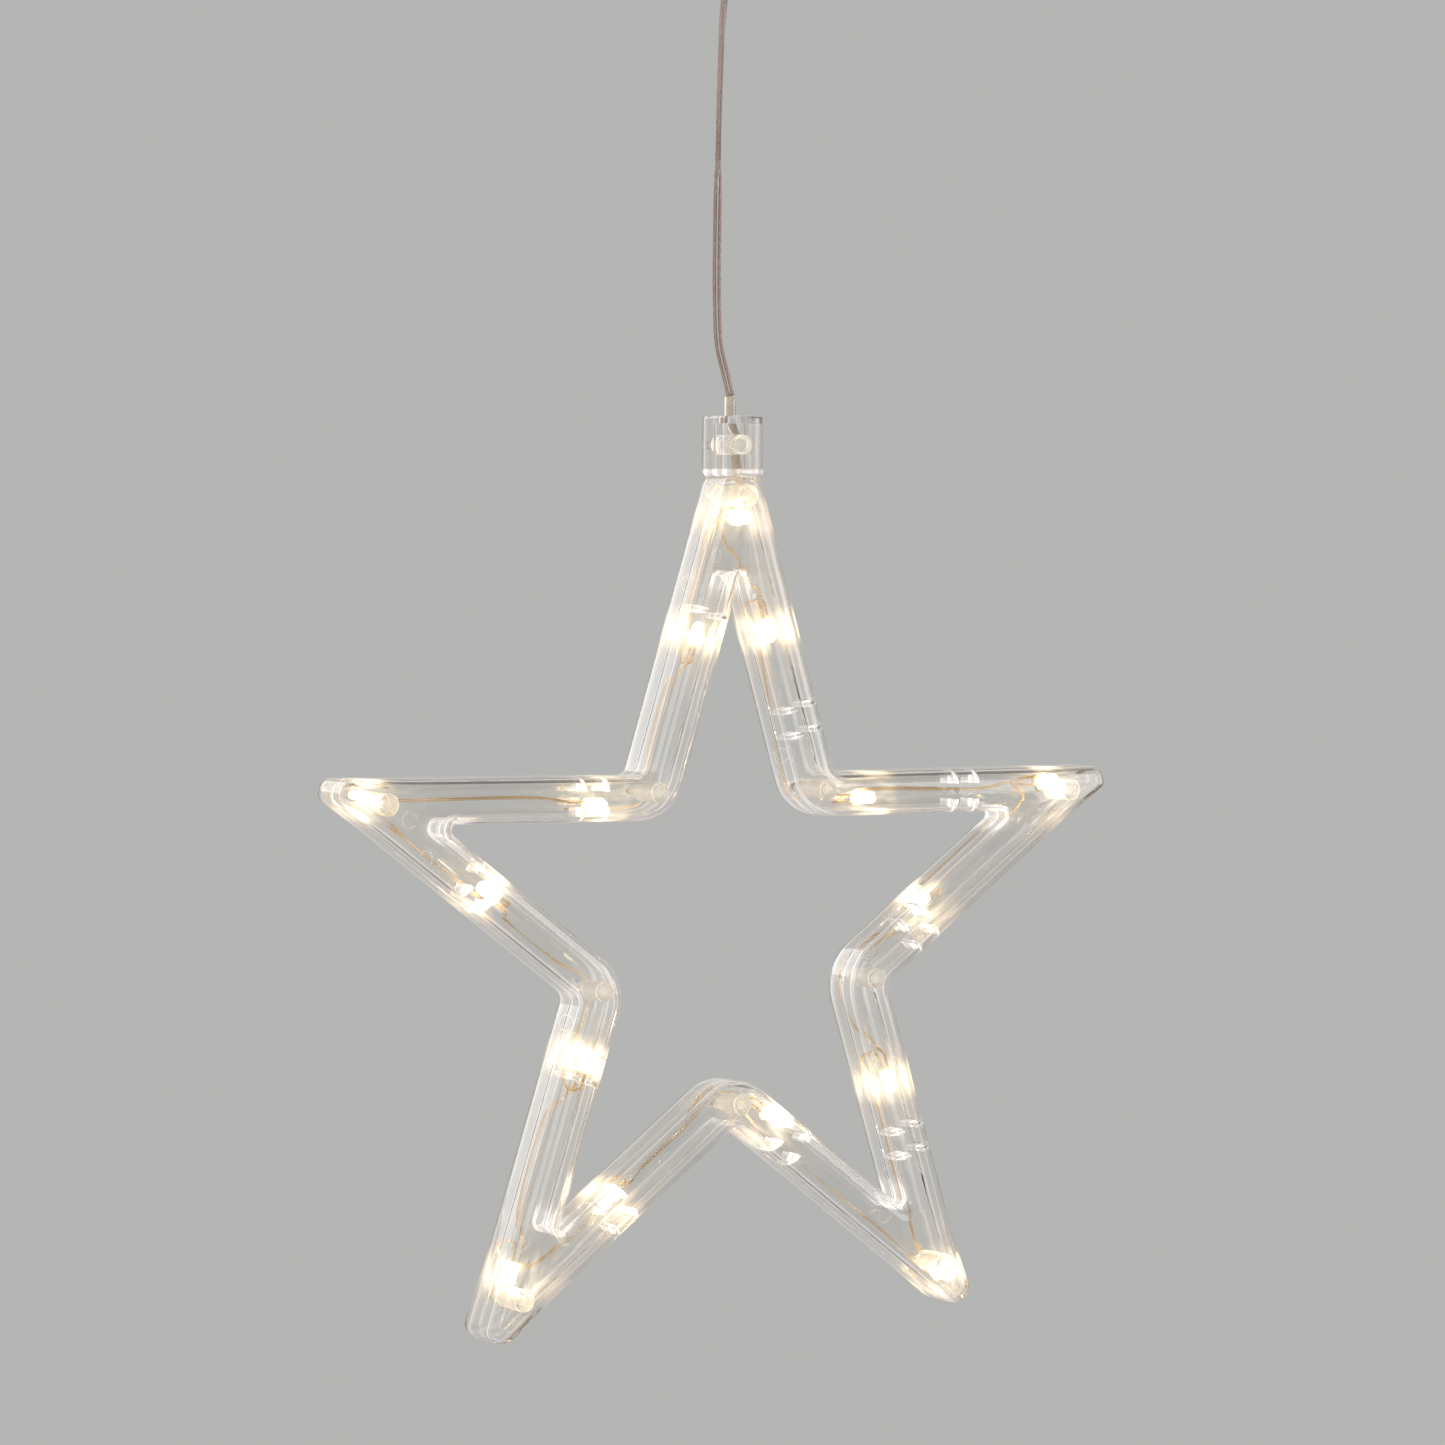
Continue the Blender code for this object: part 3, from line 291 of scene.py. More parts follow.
def wall_light_group():
    """Light led along inside the plastic, which shows in walls seen edge-on, at the seam and in scratches."""
    tree, given, out = group(
        "wall_light",
        "ShaderNodeTree",
        [
            ("Wall", "NodeSocketFloat", 0.0),
            ("Place", "NodeSocketVector", None),
            ("Streaks", "NodeSocketFloat", 0.0),
            ("Scratch", "NodeSocketFloat", 0.0),
            ("Seam Width", "NodeSocketFloat", 0.0005),
            ("Seam Level", "NodeSocketFloat", 4.4),
            ("Corner Depth", "NodeSocketFloat", flat_half_depth),
            ("Corner Width", "NodeSocketFloat", 0.00045),
            ("Corner Level", "NodeSocketFloat", 2.6),
            ("Even Share", "NodeSocketFloat", 0.40),
            ("Streak Share", "NodeSocketFloat", 0.5),
            ("Scratch Share", "NodeSocketFloat", 0.12),
            ("Tone", "NodeSocketColor", (1.0, 0.95, 0.91, 1.0)),
        ],
        [("Color", "NodeSocketColor")],
    )
    depth = node(tree, "ShaderNodeSeparateXYZ", {0: given["Place"]}).outputs["Z"]
    from_seam = maths(tree, "ABSOLUTE", depth)
    past_corner = maths(tree, "SUBTRACT", from_seam, given["Corner Depth"])
    from_corner = maths(tree, "ABSOLUTE", past_corner)
    share = maths(tree, "MULTIPLY_ADD", given["Streaks"], given["Streak Share"], given["Even Share"])
    for away, edge in ((from_seam, "Seam"), (from_corner, "Corner")):
        line = spread(tree, away, 0.0, given[edge + " Width"], given[edge + " Level"], 0.0)
        share = maths(tree, "ADD", share, line)
    wall_share = maths(tree, "MULTIPLY", share, given["Wall"])
    worn = maths(tree, "MULTIPLY", given["Scratch"], given["Scratch Share"])
    whole = maths(tree, "ADD", wall_share, worn)
    link_to(tree, out, Color=vector_maths(tree, "SCALE", given["Tone"], whole))
    return tree


def fine_grain_group():
    """Small changes of tone, sheen and height over a surface."""
    tree, given, out = group(
        "fine_grain",
        "ShaderNodeTree",
        [
            ("Place", "NodeSocketVector", None),
            ("Scale", "NodeSocketFloat", 600.0),
            ("Patch Scale", "NodeSocketFloat", 90.0),
            ("Light Tone", "NodeSocketColor", (1.0, 1.0, 1.0, 1.0)),
            ("Dark Tone", "NodeSocketColor", (0.8, 0.8, 0.8, 1.0)),
            ("Smooth", "NodeSocketFloat", 0.2),
            ("Rough", "NodeSocketFloat", 0.4),
        ],
        [("Color", "NodeSocketColor"), ("Roughness", "NodeSocketFloat"), ("Height", "NodeSocketFloat")],
    )
    grain = noise(tree, given["Place"], given["Scale"], Detail=5.0, Roughness=0.6)
    patches = noise(tree, given["Place"], given["Patch Scale"], Detail=2.0, Roughness=0.5)
    share = spread(tree, maths(tree, "MULTIPLY", grain, patches), 0.12, 0.40)
    tone = blended(tree, share, given["Light Tone"], given["Dark Tone"])
    sheen = {0: share, 2: given["Smooth"], 3: given["Rough"]}
    rough = node(tree, "ShaderNodeMix", sheen, data_type="FLOAT").outputs[0]
    link_to(tree, out, Color=tone, Roughness=rough, Height=grain)
    return tree


moulding_marks = moulding_marks_group()
lamp_light = lamp_light_group()
wall_light = wall_light_group()
fine_grain = fine_grain_group()


# Materials
clean_roughness = 0.01
worn_roughness = 0.22
frost_roughness = 0.75
plastic_bump = 0.5
grain_bump = 0.4


def principled(name, **constants):
    """A material whose same-all-over values sit on the shader's own sockets."""
    mat = bpy.data.materials.new(name)
    mat.use_nodes = True
    shader = mat.node_tree.nodes["Principled BSDF"]
    for label, value in constants.items():
        shader.inputs[label.replace("_", " ")].default_value = value
    return mat, mat.node_tree, shader


def bumped(tree, shader, height, depth, strength):
    bump = node(tree, "ShaderNodeBump", {"Height": height, "Distance": depth, "Strength": strength})
    link_to(tree, shader, Normal=bump.outputs[0])


def attribute(tree, name, output="Fac"):
    """What one of the mesh's attributes holds."""
    return node(tree, "ShaderNodeAttribute", attribute_name=name).outputs[output]


def clear_plastic(name, tint, painted_edge_shade, edge_blend, ripple, light_strength, clearness=1.0):
    """Clear moulded plastic that carries some of the lamps' light, with painted shade where it is seen
    edge-on, standing for the longer path through the plastic.
    """
    mat, tree, shader = principled(
        name,
        Transmission_Weight=clearness,
        IOR=1.49,
        Specular_IOR_Level=0.5,
        Emission_Strength=light_strength,
    )
    place = attribute(tree, "run", "Vector")
    # Frost makes a face milky through roughness and also gives it a painted white glow
    frost_and_glow = attribute(tree, "frost_and_glow")
    marks = node(tree, "ShaderNodeGroup", {"Place": place}, node_tree=moulding_marks).outputs
    # Painted shade: the colour darkens towards the edge colour where the surface is seen edge-on
    edge = node(tree, "ShaderNodeLayerWeight", {"Blend": edge_blend}).outputs["Facing"]
    tone = blended(tree, edge, (*tint, 1.0), (*painted_edge_shade, 1.0))
    worn = maths(tree, "MAXIMUM", marks["Haze"], marks["Scratch"])
    milky = maths(tree, "MULTIPLY", frost_and_glow, frost_roughness)
    rough = maths(tree, "MAXIMUM", spread(tree, worn, 0.0, 1.0, clean_roughness, worn_roughness), milky)
    round_lamps = node(
        tree,
        "ShaderNodeGroup",
        {"Glow": attribute(tree, "lamp_glow"), "Frost Glow": frost_and_glow, "Place": place},
        node_tree=lamp_light,
    )
    in_walls = node(
        tree,
        "ShaderNodeGroup",
        {
            "Wall": attribute(tree, "wall_glow"),
            "Place": place,
            "Streaks": marks["Haze"],
            "Scratch": marks["Scratch"],
        },
        node_tree=wall_light,
    )
    light = vector_maths(tree, "ADD", round_lamps.outputs["Color"], in_walls.outputs["Color"])
    link_to(tree, shader, Base_Color=tone, Roughness=rough, Emission_Color=light)
    bumped(tree, shader, marks["Height"], ripple, plastic_bump)
    mat.cycles.emission_sampling = "NONE"
    return mat


def lay_grain(tree, shader, place, tones, sheens, scale, depth, strength):
    """Give a shader the fine grain between two tones and two roughnesses."""
    inputs = {
        "Place": place,
        "Scale": scale,
        "Light Tone": (*tones[0], 1.0),
        "Dark Tone": (*tones[1], 1.0),
        "Smooth": sheens[0],
        "Rough": sheens[1],
    }
    grain = node(tree, "ShaderNodeGroup", inputs, node_tree=fine_grain).outputs
    link_to(tree, shader, Base_Color=grain["Color"], Roughness=grain["Roughness"])
    bumped(tree, shader, grain["Height"], depth, strength)


def grained(name, light_tone, dark_tone, smooth, rough, scale, depth, **constants):
    """Paint, moulded plastic or metal with a fine grain."""
    mat, tree, shader = principled(name, **constants)
    place = node(tree, "ShaderNodeTexCoord").outputs["Object"]
    lay_grain(tree, shader, place, (light_tone, dark_tone), (smooth, rough), scale, depth, grain_bump)
    return mat


def lit_epoxy():
    """The lamp's warm body: brightest round its chip, yellower towards the flange."""
    mat, tree, shader = principled("lit_epoxy", Transmission_Weight=0.35, IOR=1.53, Emission_Strength=5.0)
    place = attribute(tree, "lamp_place", "Vector")
    tones = ((1.0, 0.95, 0.80), (1.0, 0.86, 0.58))
    lay_grain(tree, shader, place, tones, (0.05, 0.15), 900.0, 0.00003, 0.3)
    height = node(tree, "ShaderNodeSeparateXYZ", {0: place}).outputs["Z"]
    up = spread(tree, height, -lamp_back, 0.0, 0.16, 1.0)
    warm = blended(tree, up, (1.0, 0.62, 0.20, 1.0), (1.0, 0.90, 0.66, 1.0))
    link_to(tree, shader, Emission_Color=vector_maths(tree, "SCALE", warm, up))
    return mat


# Each look: name, tint, painted shade seen edge-on, how far that shade reaches, ripple depth, lamp light
# strength and clearness
shell_plastic, cap_plastic, cord_plastic, wire_plastic, sleeve_plastic = (
    clear_plastic(*look)
    for look in (
        ("clear_plastic", (0.985, 0.985, 0.98), (0.74, 0.67, 0.64), 0.25, 0.00004, 0.5),
        ("cap_plastic", (0.98, 0.975, 0.97), (0.66, 0.58, 0.55), 0.30, 0.00001, 0.5),
        ("cord_plastic", (0.93, 0.91, 0.92), (0.50, 0.47, 0.49), 0.50, 0.00002, 0.5),
        ("wire_plastic", (1.0, 0.92, 0.76), (0.82, 0.62, 0.40), 0.45, 0.00004, 0.9),
        ("sleeve_plastic", (0.90, 0.84, 0.76), (0.74, 0.66, 0.58), 0.45, 0.00004, 0.5, 0.6),
    )
)
copper, wire_copper, leg_steel, plate_steel, screw_steel = (
    grained(*look, Metallic=1.0)
    for look in (
        ("copper", (0.92, 0.72, 0.63), (0.74, 0.52, 0.44), 0.25, 0.45, 1500.0, 0.00002),
        ("wire_copper", (1.0, 0.84, 0.62), (0.92, 0.68, 0.44), 0.25, 0.45, 1500.0, 0.00002),
        ("leg_steel", (0.80, 0.70, 0.48), (0.62, 0.50, 0.30), 0.22, 0.40, 1400.0, 0.00003),
        ("plate_steel", (0.66, 0.66, 0.65), (0.52, 0.52, 0.52), 0.25, 0.45, 700.0, 0.00006),
        ("screw_steel", (0.74, 0.73, 0.70), (0.55, 0.54, 0.52), 0.20, 0.40, 1100.0, 0.00005),
    )
)
epoxy = lit_epoxy()
fitting_white = grained("fitting_white", (0.86, 0.86, 0.84), (0.78, 0.78, 0.76), 0.28, 0.42, 1300.0, 0.00008)


# Places in the star
def heading(index):
    """Angle of tip index, from +X towards +Z."""
    return math.pi / 2 - turn * index


def polar(radius, angle, depth=0.0):
    return Vector((radius * math.cos(angle), depth, radius * math.sin(angle)))


def arm_axes(arm):
    """Start, clockwise direction and outward direction of an arm's centreline."""
    k = (arm - 1) // 2
    if arm % 2:
        start, end = polar(star_radius, heading(k)), polar(inner_corner_radius, heading(k) - turn / 2)
    else:
        start, end = polar(inner_corner_radius, heading(k) - turn / 2), polar(star_radius, heading(k + 1))
    along = (end - start).normalized()
    return start, along, Vector((-along.z, 0.0, along.x))


def in_arm(arm, along, offset, depth):
    start, forward, out = arm_axes(arm)
    return start + forward * along + out * offset + Vector((0.0, depth, 0.0))


def in_tip(tip, radius, offset, depth):
    angle = heading(tip)
    return polar(radius, angle, depth) + Vector((math.sin(angle), 0.0, -math.cos(angle))) * offset


arms = [arm_axes(arm) for arm in range(1, 2 * tip_count + 1)]


def arm_of(place):
    """Number, from 0, of the arm that a place in the star is nearest to."""
    angle = (math.pi / 2 - math.atan2(place.z, place.x)) % math.tau
    return min(2 * tip_count - 1, int(angle / (turn / 2)))


def run_of(place):
    """Distance on round the star's centreline, offset from it and depth, of a place in the star."""
    arm = arm_of(place)
    start, forward, out = arms[arm]
    away = place - start
    return (arm * arm_length + away.dot(forward), away.dot(out), place.y)


# Meshes
def mesh_from(name, bm):
    mesh = bpy.data.meshes.new(name)
    bm.to_mesh(mesh)
    bm.free()
    return mesh


def mesh_of(name, draw):
    bm = bmesh.new()
    draw(bm)
    return mesh_from(name, bm)


def points_mesh(name, places, **vectors):
    """Loose points that carry one vector attribute each for every name given."""
    mesh = bpy.data.meshes.new(name)
    mesh.from_pydata([tuple(p) for p in places], [], [])
    for label, values in vectors.items():
        marked(mesh, label, "FLOAT_VECTOR", "POINT", [x for v in values for x in v])
    return mesh


def marked(mesh, label, kind, domain, values):
    """Store a named attribute on a mesh."""
    held = mesh.attributes.new(label, kind, domain)
    held.data.foreach_set("vector" if kind == "FLOAT_VECTOR" else "value", values)


def cylinder(bm, radius, start, end, sides=40):
    axis = end - start
    place = Matrix.Translation((start + end) / 2) @ axis.to_track_quat("Z", "Y").to_matrix().to_4x4()
    bmesh.ops.create_cone(
        bm, cap_ends=True, segments=sides, radius1=radius, radius2=radius, depth=axis.length, matrix=place
    )


def box(bm, low, high):
    size = Vector(high) - Vector(low)
    place = Matrix.Translation((Vector(high) + Vector(low)) / 2) @ Matrix.Diagonal((*size, 1.0))
    bmesh.ops.create_cube(bm, size=1.0, matrix=place)


def smooth_line(points, step):
    """A smooth curve through the route's points, read every step."""
    route = [Vector(p) for p in points]
    ends = [route[0] * 2 - route[1]] + route + [route[-1] * 2 - route[-2]]
    line = [route[0]]
    for a, b, c, d in zip(ends, ends[1:], ends[2:], ends[3:]):
        t1 = (b - a).length ** 0.5
        t2 = t1 + (c - b).length ** 0.5
        t3 = t2 + (d - c).length ** 0.5
        count = max(1, math.ceil((c - b).length / step))
        for i in range(1, count + 1):
            t = t1 + (t2 - t1) * i / count
            p = a.lerp(b, t / t1)
            q = b.lerp(c, (t - t1) / (t2 - t1))
            r = c.lerp(d, (t - t2) / (t3 - t2))
            u = p.lerp(q, t / t2)
            v = q.lerp(r, (t - t1) / (t3 - t1))
            line.append(u.lerp(v, (t - t1) / (t2 - t1)))
    return line


def evenly(line, spacing):
    """The line read again at equal distances."""
    lengths = [0.0]
    for a, b in zip(line, line[1:]):
        lengths.append(lengths[-1] + (b - a).length)
    count = max(2, round(lengths[-1] / spacing))
    points, i = [], 0
    for n in range(count + 1):
        want = lengths[-1] * n / count
        while i < len(lengths) - 2 and lengths[i + 1] < want:
            i += 1
        share = (want - lengths[i]) / (lengths[i + 1] - lengths[i])
        points.append(line[i].lerp(line[i + 1], min(1.0, share)))
    return points


def circle(radius, count, centre=(0.0, 0.0)):
    angles = [math.tau * i / count for i in range(count)]
    return [(centre[0] + radius * math.cos(a), centre[1] + radius * math.sin(a)) for a in angles]


def ways_across(line, number, wide):
    """The flat and the thin way across a line at one of its points, when its flat side lies along wide."""
    tangent = (line[min(number + 1, len(line) - 1)] - line[max(number - 1, 0)]).normalized()
    thin = tangent.cross(wide).normalized()
    return thin.cross(tangent), thin


def band(bm, row, after):
    """Faces between two rings of points, either of which may be a single pole."""
    sides = max(len(row), len(after))
    for j in range(sides):
        n = (j + 1) % sides
        if len(row) == 1:
            bm.faces.new((row[0], after[n], after[j]))
        elif len(after) == 1:
            bm.faces.new((row[j], row[n], after[0]))
        else:
            bm.faces.new((row[j], row[n], after[n], after[j]))


def swept(name, line, wides, *profiles):
    """Closed bodies from profiles (wide, thin) carried along a line, whose flat sides lie along wides."""
    bm = bmesh.new()
    for profile in profiles:
        rows = []
        for i, (place, wide) in enumerate(zip(line, wides)):
            flat, thin = ways_across(line, i, wide)
            rows.append([bm.verts.new(place + flat * u + thin * v) for u, v in profile])
        for row, after in zip(rows, rows[1:]):
            band(bm, row, after)
        bm.faces.new(rows[0])
        bm.faces.new(rows[-1])
    bmesh.ops.recalc_face_normals(bm, faces=bm.faces)
    return mesh_from(name, bm)


def turned(name, profile, sides=96, flutes=None):
    """A profile of (radius, height), from pole to pole or closed, turned round the vertical axis."""
    bm = bmesh.new()
    rows = []
    for radius, height in profile:
        if radius == 0.0:
            rows.append([bm.verts.new((0.0, 0.0, height))])
            continue
        row = []
        for i in range(sides):
            angle = math.tau * i / sides
            wide = radius * (flutes(angle, height) if flutes else 1.0)
            row.append(bm.verts.new((wide * math.cos(angle), wide * math.sin(angle), height)))
        rows.append(row)
    if len(rows[0]) > 1:
        rows.append(rows[0])
    for row, after in zip(rows, rows[1:]):
        band(bm, row, after)
    bmesh.ops.recalc_face_normals(bm, faces=bm.faces)
    return mesh_from(name, bm)


def loft(name, rings):
    """A body from a cycle of rings with equal counts of points."""
    bm = bmesh.new()
    rows = [[bm.verts.new(p) for p in ring] for ring in rings]
    for row, after in zip(rows, rows[1:] + rows[:1]):
        band(bm, row, after)
    bmesh.ops.recalc_face_normals(bm, faces=bm.faces)
    return mesh_from(name, bm)


# Building and finishing pieces
workbench = bpy.data.collections.new("workbench")
bpy.context.scene.collection.children.link(workbench)


def on_bench(name, data):
    obj = bpy.data.objects.new(name, data)
    workbench.objects.link(obj)
    return obj


def plain_mesh(name, obj):
    """What an object comes to with its modifiers, as a plain mesh."""
    bpy.context.view_layer.update()
    mesh = bpy.data.meshes.new_from_object(obj.evaluated_get(bpy.context.evaluated_depsgraph_get()))
    mesh.name = name
    return mesh


def combined(name, mesh, steps):
    """A mesh with others united with it or cut from it, in turn."""
    whole = on_bench(name + "_whole", mesh)
    used = [whole]
    for operation, other in steps:
        tool = on_bench(name + "_tool", other)
        used.append(tool)
        step = whole.modifiers.new("step", "BOOLEAN")
        step.operation = operation
        step.object = tool
    made = plain_mesh(name, whole)
    for obj in used:
        bpy.data.objects.remove(obj)
    return made


def parted(mesh, cuts):
    """Cut a mesh's faces across at planes, (way, distance), where its look changes. It stays in one."""
    bm = bmesh.new()
    bm.from_mesh(mesh)
    for way, distance in cuts:
        for far in (distance, distance + cut_band):
            parts = bm.verts[:] + bm.edges[:] + bm.faces[:]
            bmesh.ops.bisect_plane(bm, geom=parts, dist=0.000001, plane_co=way * far, plane_no=way)
    bm.to_mesh(mesh)
    bm.free()
    return mesh


def soft_shaded(mesh, limit=35.0):
    """A mesh shaded smooth up to an angle, with its flat faces kept flat."""
    mesh.shade_smooth()
    mesh.set_sharp_from_angle(angle=math.radians(limit))
    obj = on_bench("shading", mesh)
    weigh = obj.modifiers.new("even_faces", "WEIGHTED_NORMAL")
    weigh.keep_sharp = True
    made = plain_mesh(mesh.name, obj)
    bpy.data.objects.remove(obj)
    return made


def smooth_shaded(mesh, limit):
    """A mesh shaded smooth up to an angle."""
    mesh.shade_smooth()
    mesh.set_sharp_from_angle(angle=math.radians(limit))
    return mesh


def piece(name, mesh, body, nodes, mat=None, at=star_centre):
    """A finished piece with its place in its mesh, riding on a body in place of its CAD nodes."""
    mesh.transform(Matrix.Translation(at))
    if mat:
        mesh.materials.clear()
        mesh.materials.append(mat)
    obj = bpy.data.objects.new(name, mesh)
    bpy.context.scene.collection.objects.link(obj)
    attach(obj, body)
    if nodes:
        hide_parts(*nodes)
    return obj


# Geometry Nodes
def geometry_group(name, sizes):
    """A Geometry Nodes group with an input for each of the named sizes and materials."""
    kinds = {int: "NodeSocketInt", float: "NodeSocketFloat"}
    inputs = [("Geometry", "NodeSocketGeometry", None)]
    for label, value in sizes.items():
        if type(value) in kinds:
            inputs.append((label, kinds[type(value)], value))
        else:
            inputs.append((label, "NodeSocketMaterial", None))
    return group(name, "GeometryNodeTree", inputs, [("Geometry", "NodeSocketGeometry")])


def grown(name, tree, mesh, values):
    """What a Geometry Nodes tree makes of a mesh with its named inputs set, as a plain mesh."""
    obj = on_bench(name + "_seed", mesh)
    modifier = obj.modifiers.new("growth", "NODES")
    modifier.node_group = tree
    for item in tree.interface.items_tree:
        if item.item_type == "SOCKET" and item.in_out == "INPUT" and item.name in values:
            modifier[item.identifier] = values[item.name]
    made = plain_mesh(name, obj)
    bpy.data.objects.remove(obj)
    return made


def named(tree, label, data_type="FLOAT_VECTOR"):
    """What one of the geometry's attributes holds."""
    found = node(tree, "GeometryNodeInputNamedAttribute", {"Name": label}, data_type=data_type)
    return found.outputs["Attribute"]


def stored(tree, geometry, label, value, data_type, domain):
    """Geometry with a value kept as an attribute."""
    inputs = {"Geometry": geometry, "Name": label, "Value": value}
    keep = node(tree, "GeometryNodeStoreNamedAttribute", inputs, data_type=data_type, domain=domain)
    return keep.outputs[0]


def vector(tree, x=0.0, y=0.0, z=0.0):
    return node(tree, "ShaderNodeCombineXYZ", {"X": x, "Y": y, "Z": z}).outputs[0]


def placed(tree, geometry, offset):
    moved = node(tree, "GeometryNodeTransform", {"Geometry": geometry, "Translation": offset})
    return moved.outputs["Geometry"]


def circle_curve(tree, radius, points):
    inputs = {"Resolution": points, "Radius": radius}
    return node(tree, "GeometryNodeCurvePrimitiveCircle", inputs).outputs["Curve"]


def tube_shape(tree, radius, length, sides):
    """A closed cylinder along Z, about its middle."""
    inputs = {"Vertices": sides, "Radius": radius, "Depth": length}
    return node(tree, "GeometryNodeMeshCylinder", inputs).outputs["Mesh"]


def joined(tree, *parts):
    whole = node(tree, "GeometryNodeJoinGeometry")
    for part in parts:
        tree.links.new(part, whole.inputs[0])
    return whole.outputs[0]


def united(tree, *parts):
    whole = node(tree, "GeometryNodeMeshBoolean", operation="UNION")
    for part in parts:
        tree.links.new(part, whole.inputs["Mesh 2"])
    return whole.outputs["Mesh"]


def real_copies(tree, points, shape, primary=None, secondary=None):
    """A shape at every point, its Z and X turned to two of the points' attributes, as real faces."""
    inputs = {"Points": points, "Instance": shape}
    if primary:
        ways = {0: named(tree, primary), 1: named(tree, secondary)}
        axes = {"primary_axis": "Z", "secondary_axis": "X"}
        inputs["Rotation"] = node(tree, "FunctionNodeAxesToRotation", ways, **axes).outputs[0]
    copies = node(tree, "GeometryNodeInstanceOnPoints", inputs)
    return node(tree, "GeometryNodeRealizeInstances", {"Geometry": copies.outputs[0]}).outputs[0]


def coated(tree, geometry, mat, chosen=True):
    """Geometry with a material on all its faces or on the chosen ones."""
    inputs = {"Geometry": geometry, "Selection": chosen, "Material": mat}
    return node(tree, "GeometryNodeSetMaterial", inputs).outputs[0]


def coated_by_metal(tree, geometry, mat, metal):
    """Geometry with one material on its metal faces and another on the rest."""
    mark = named(tree, "metal", "FLOAT")
    is_metal = node(tree, "FunctionNodeCompare", {0: mark, 1: 0.5}, operation="GREATER_THAN").outputs[0]
    return coated(tree, coated(tree, geometry, mat), metal, is_metal)


# Outline and section of the star's tube
def arc(before, corner, after, radius, count):
    """Points of a rounded corner, count of them from one side to the other."""
    to_before = (before - corner).normalized()
    to_after = (after - corner).normalized()
    half = to_before.angle(to_after) / 2
    longest = fillet_reach_share * min((before - corner).length, (after - corner).length)
    reach = min(radius / math.tan(half), longest)
    radius = reach * math.tan(half)
    centre = corner + (to_before + to_after).normalized() * (radius / math.sin(half))
    first = corner + to_before * reach - centre
    last = corner + to_after * reach - centre
    sweep = first.angle(last)
    points = []
    for i in range(count):
        share = i / (count - 1)
        arm = first * math.sin((1 - share) * sweep) + last * math.sin(share * sweep)
        points.append(centre + arm / math.sin(sweep))
    return points


def outline(offset, outside, inset, skin):
    """The star's outline at an offset from the arm centrelines, as points (x, z)."""
    rounding = arm_corner - skin
    corners = []
    for k in range(tip_count):
        axis = Vector((math.cos(heading(k)), math.sin(heading(k))))
        side = Vector((axis.y, -axis.x))
        apex = star_radius + offset / math.sin(tip_half_angle)
        if not outside:
            radius = spike_flat_radius + skin + inset
            half = (apex - radius) * math.tan(tip_half_angle)
            rounded = spike_fillet + skin + inset
        elif k == 0:
            radius = top_cut - skin
            half = (apex - radius) * math.tan(tip_half_angle)
            rounded = tip_fillet * (1 - tip_fillet_loss_share * inset / rounding) / 2
        else:
            outermost = star_radius + (arm_half_width - skin) / math.sin(tip_half_angle)
            widest = (outermost - tip_flat_radius + skin) * math.tan(tip_half_angle)
            half = widest * (1 - tip_flat_loss_share * inset / rounding)
            radius = apex - half / math.tan(tip_half_angle)
            rounded = tip_fillet * (1 - tip_fillet_loss_share * inset / rounding)
        middle = heading(k) - turn / 2
        notch = inner_corner_radius + offset / math.sin(corner_half_angle)
        notch_round = notch_fillet + skin + inset if outside else hole_fillet - skin - inset
        corners += [
            (axis * radius - side * half, rounded, tip_steps, end_steps),
            (axis * radius + side * half, rounded, tip_steps, arm_steps),
            (Vector((math.cos(middle), math.sin(middle))) * notch, notch_round, notch_steps, arm_steps),
        ]
    arcs = [
        arc(corners[i - 1][0], corner, corners[(i + 1) % len(corners)][0], rounded, count)
        for i, (corner, rounded, count, _) in enumerate(corners)
    ]
    points = []
    for i, (_, _, _, steps) in enumerate(corners):
        start, end = arcs[i][-1], arcs[(i + 1) % len(arcs)][0]
        points += arcs[i] + [start.lerp(end, n / steps) for n in range(1, steps)]
    return points


def tip_ease(index):
    """Share of the section's corner radius that is left at a point of the outline, less near a tip."""
    per_tip = 2 * tip_steps + notch_steps + 2 * arm_steps + end_steps - 3
    tip, step = divmod(index, per_tip)
    end = 2 * tip_steps + end_steps - 2
    if step <= end:
        return 1.0 if tip == 0 else tip_corner_share
    near, away = step - end, per_tip - step
    if (near < away and tip == 0) or (near > away and tip == tip_count - 1):
        return 1.0
    share = min(1.0, min(near, away) / ease_steps)
    return tip_corner_share + (1.0 - tip_corner_share) * (3 - 2 * share) * share * share


def outline_points():
    """The outer and the hole edge's points for each skin, with how far each moves as its edge rounds."""
    places, ways = [], []
    for skin in (0.0, wall):
        rounding = arm_corner - skin
        for outside, sign in ((True, 1), (False, -1)):
            straight = outline(sign * (arm_half_width - skin), outside, 0.0, skin)
            rounded = outline(sign * (arm_half_width - skin - rounding), outside, rounding, skin)
            for i, (start, end) in enumerate(zip(straight, rounded)):
                way = (end - start) / rounding * (tip_ease(i) if outside else 1.0)
                places.append(Vector((start.x, 0.0, start.y)))
                ways.append(Vector((way.x, 0.0, way.y)))
    return points_mesh("outline_points", places, rounding_way=ways)


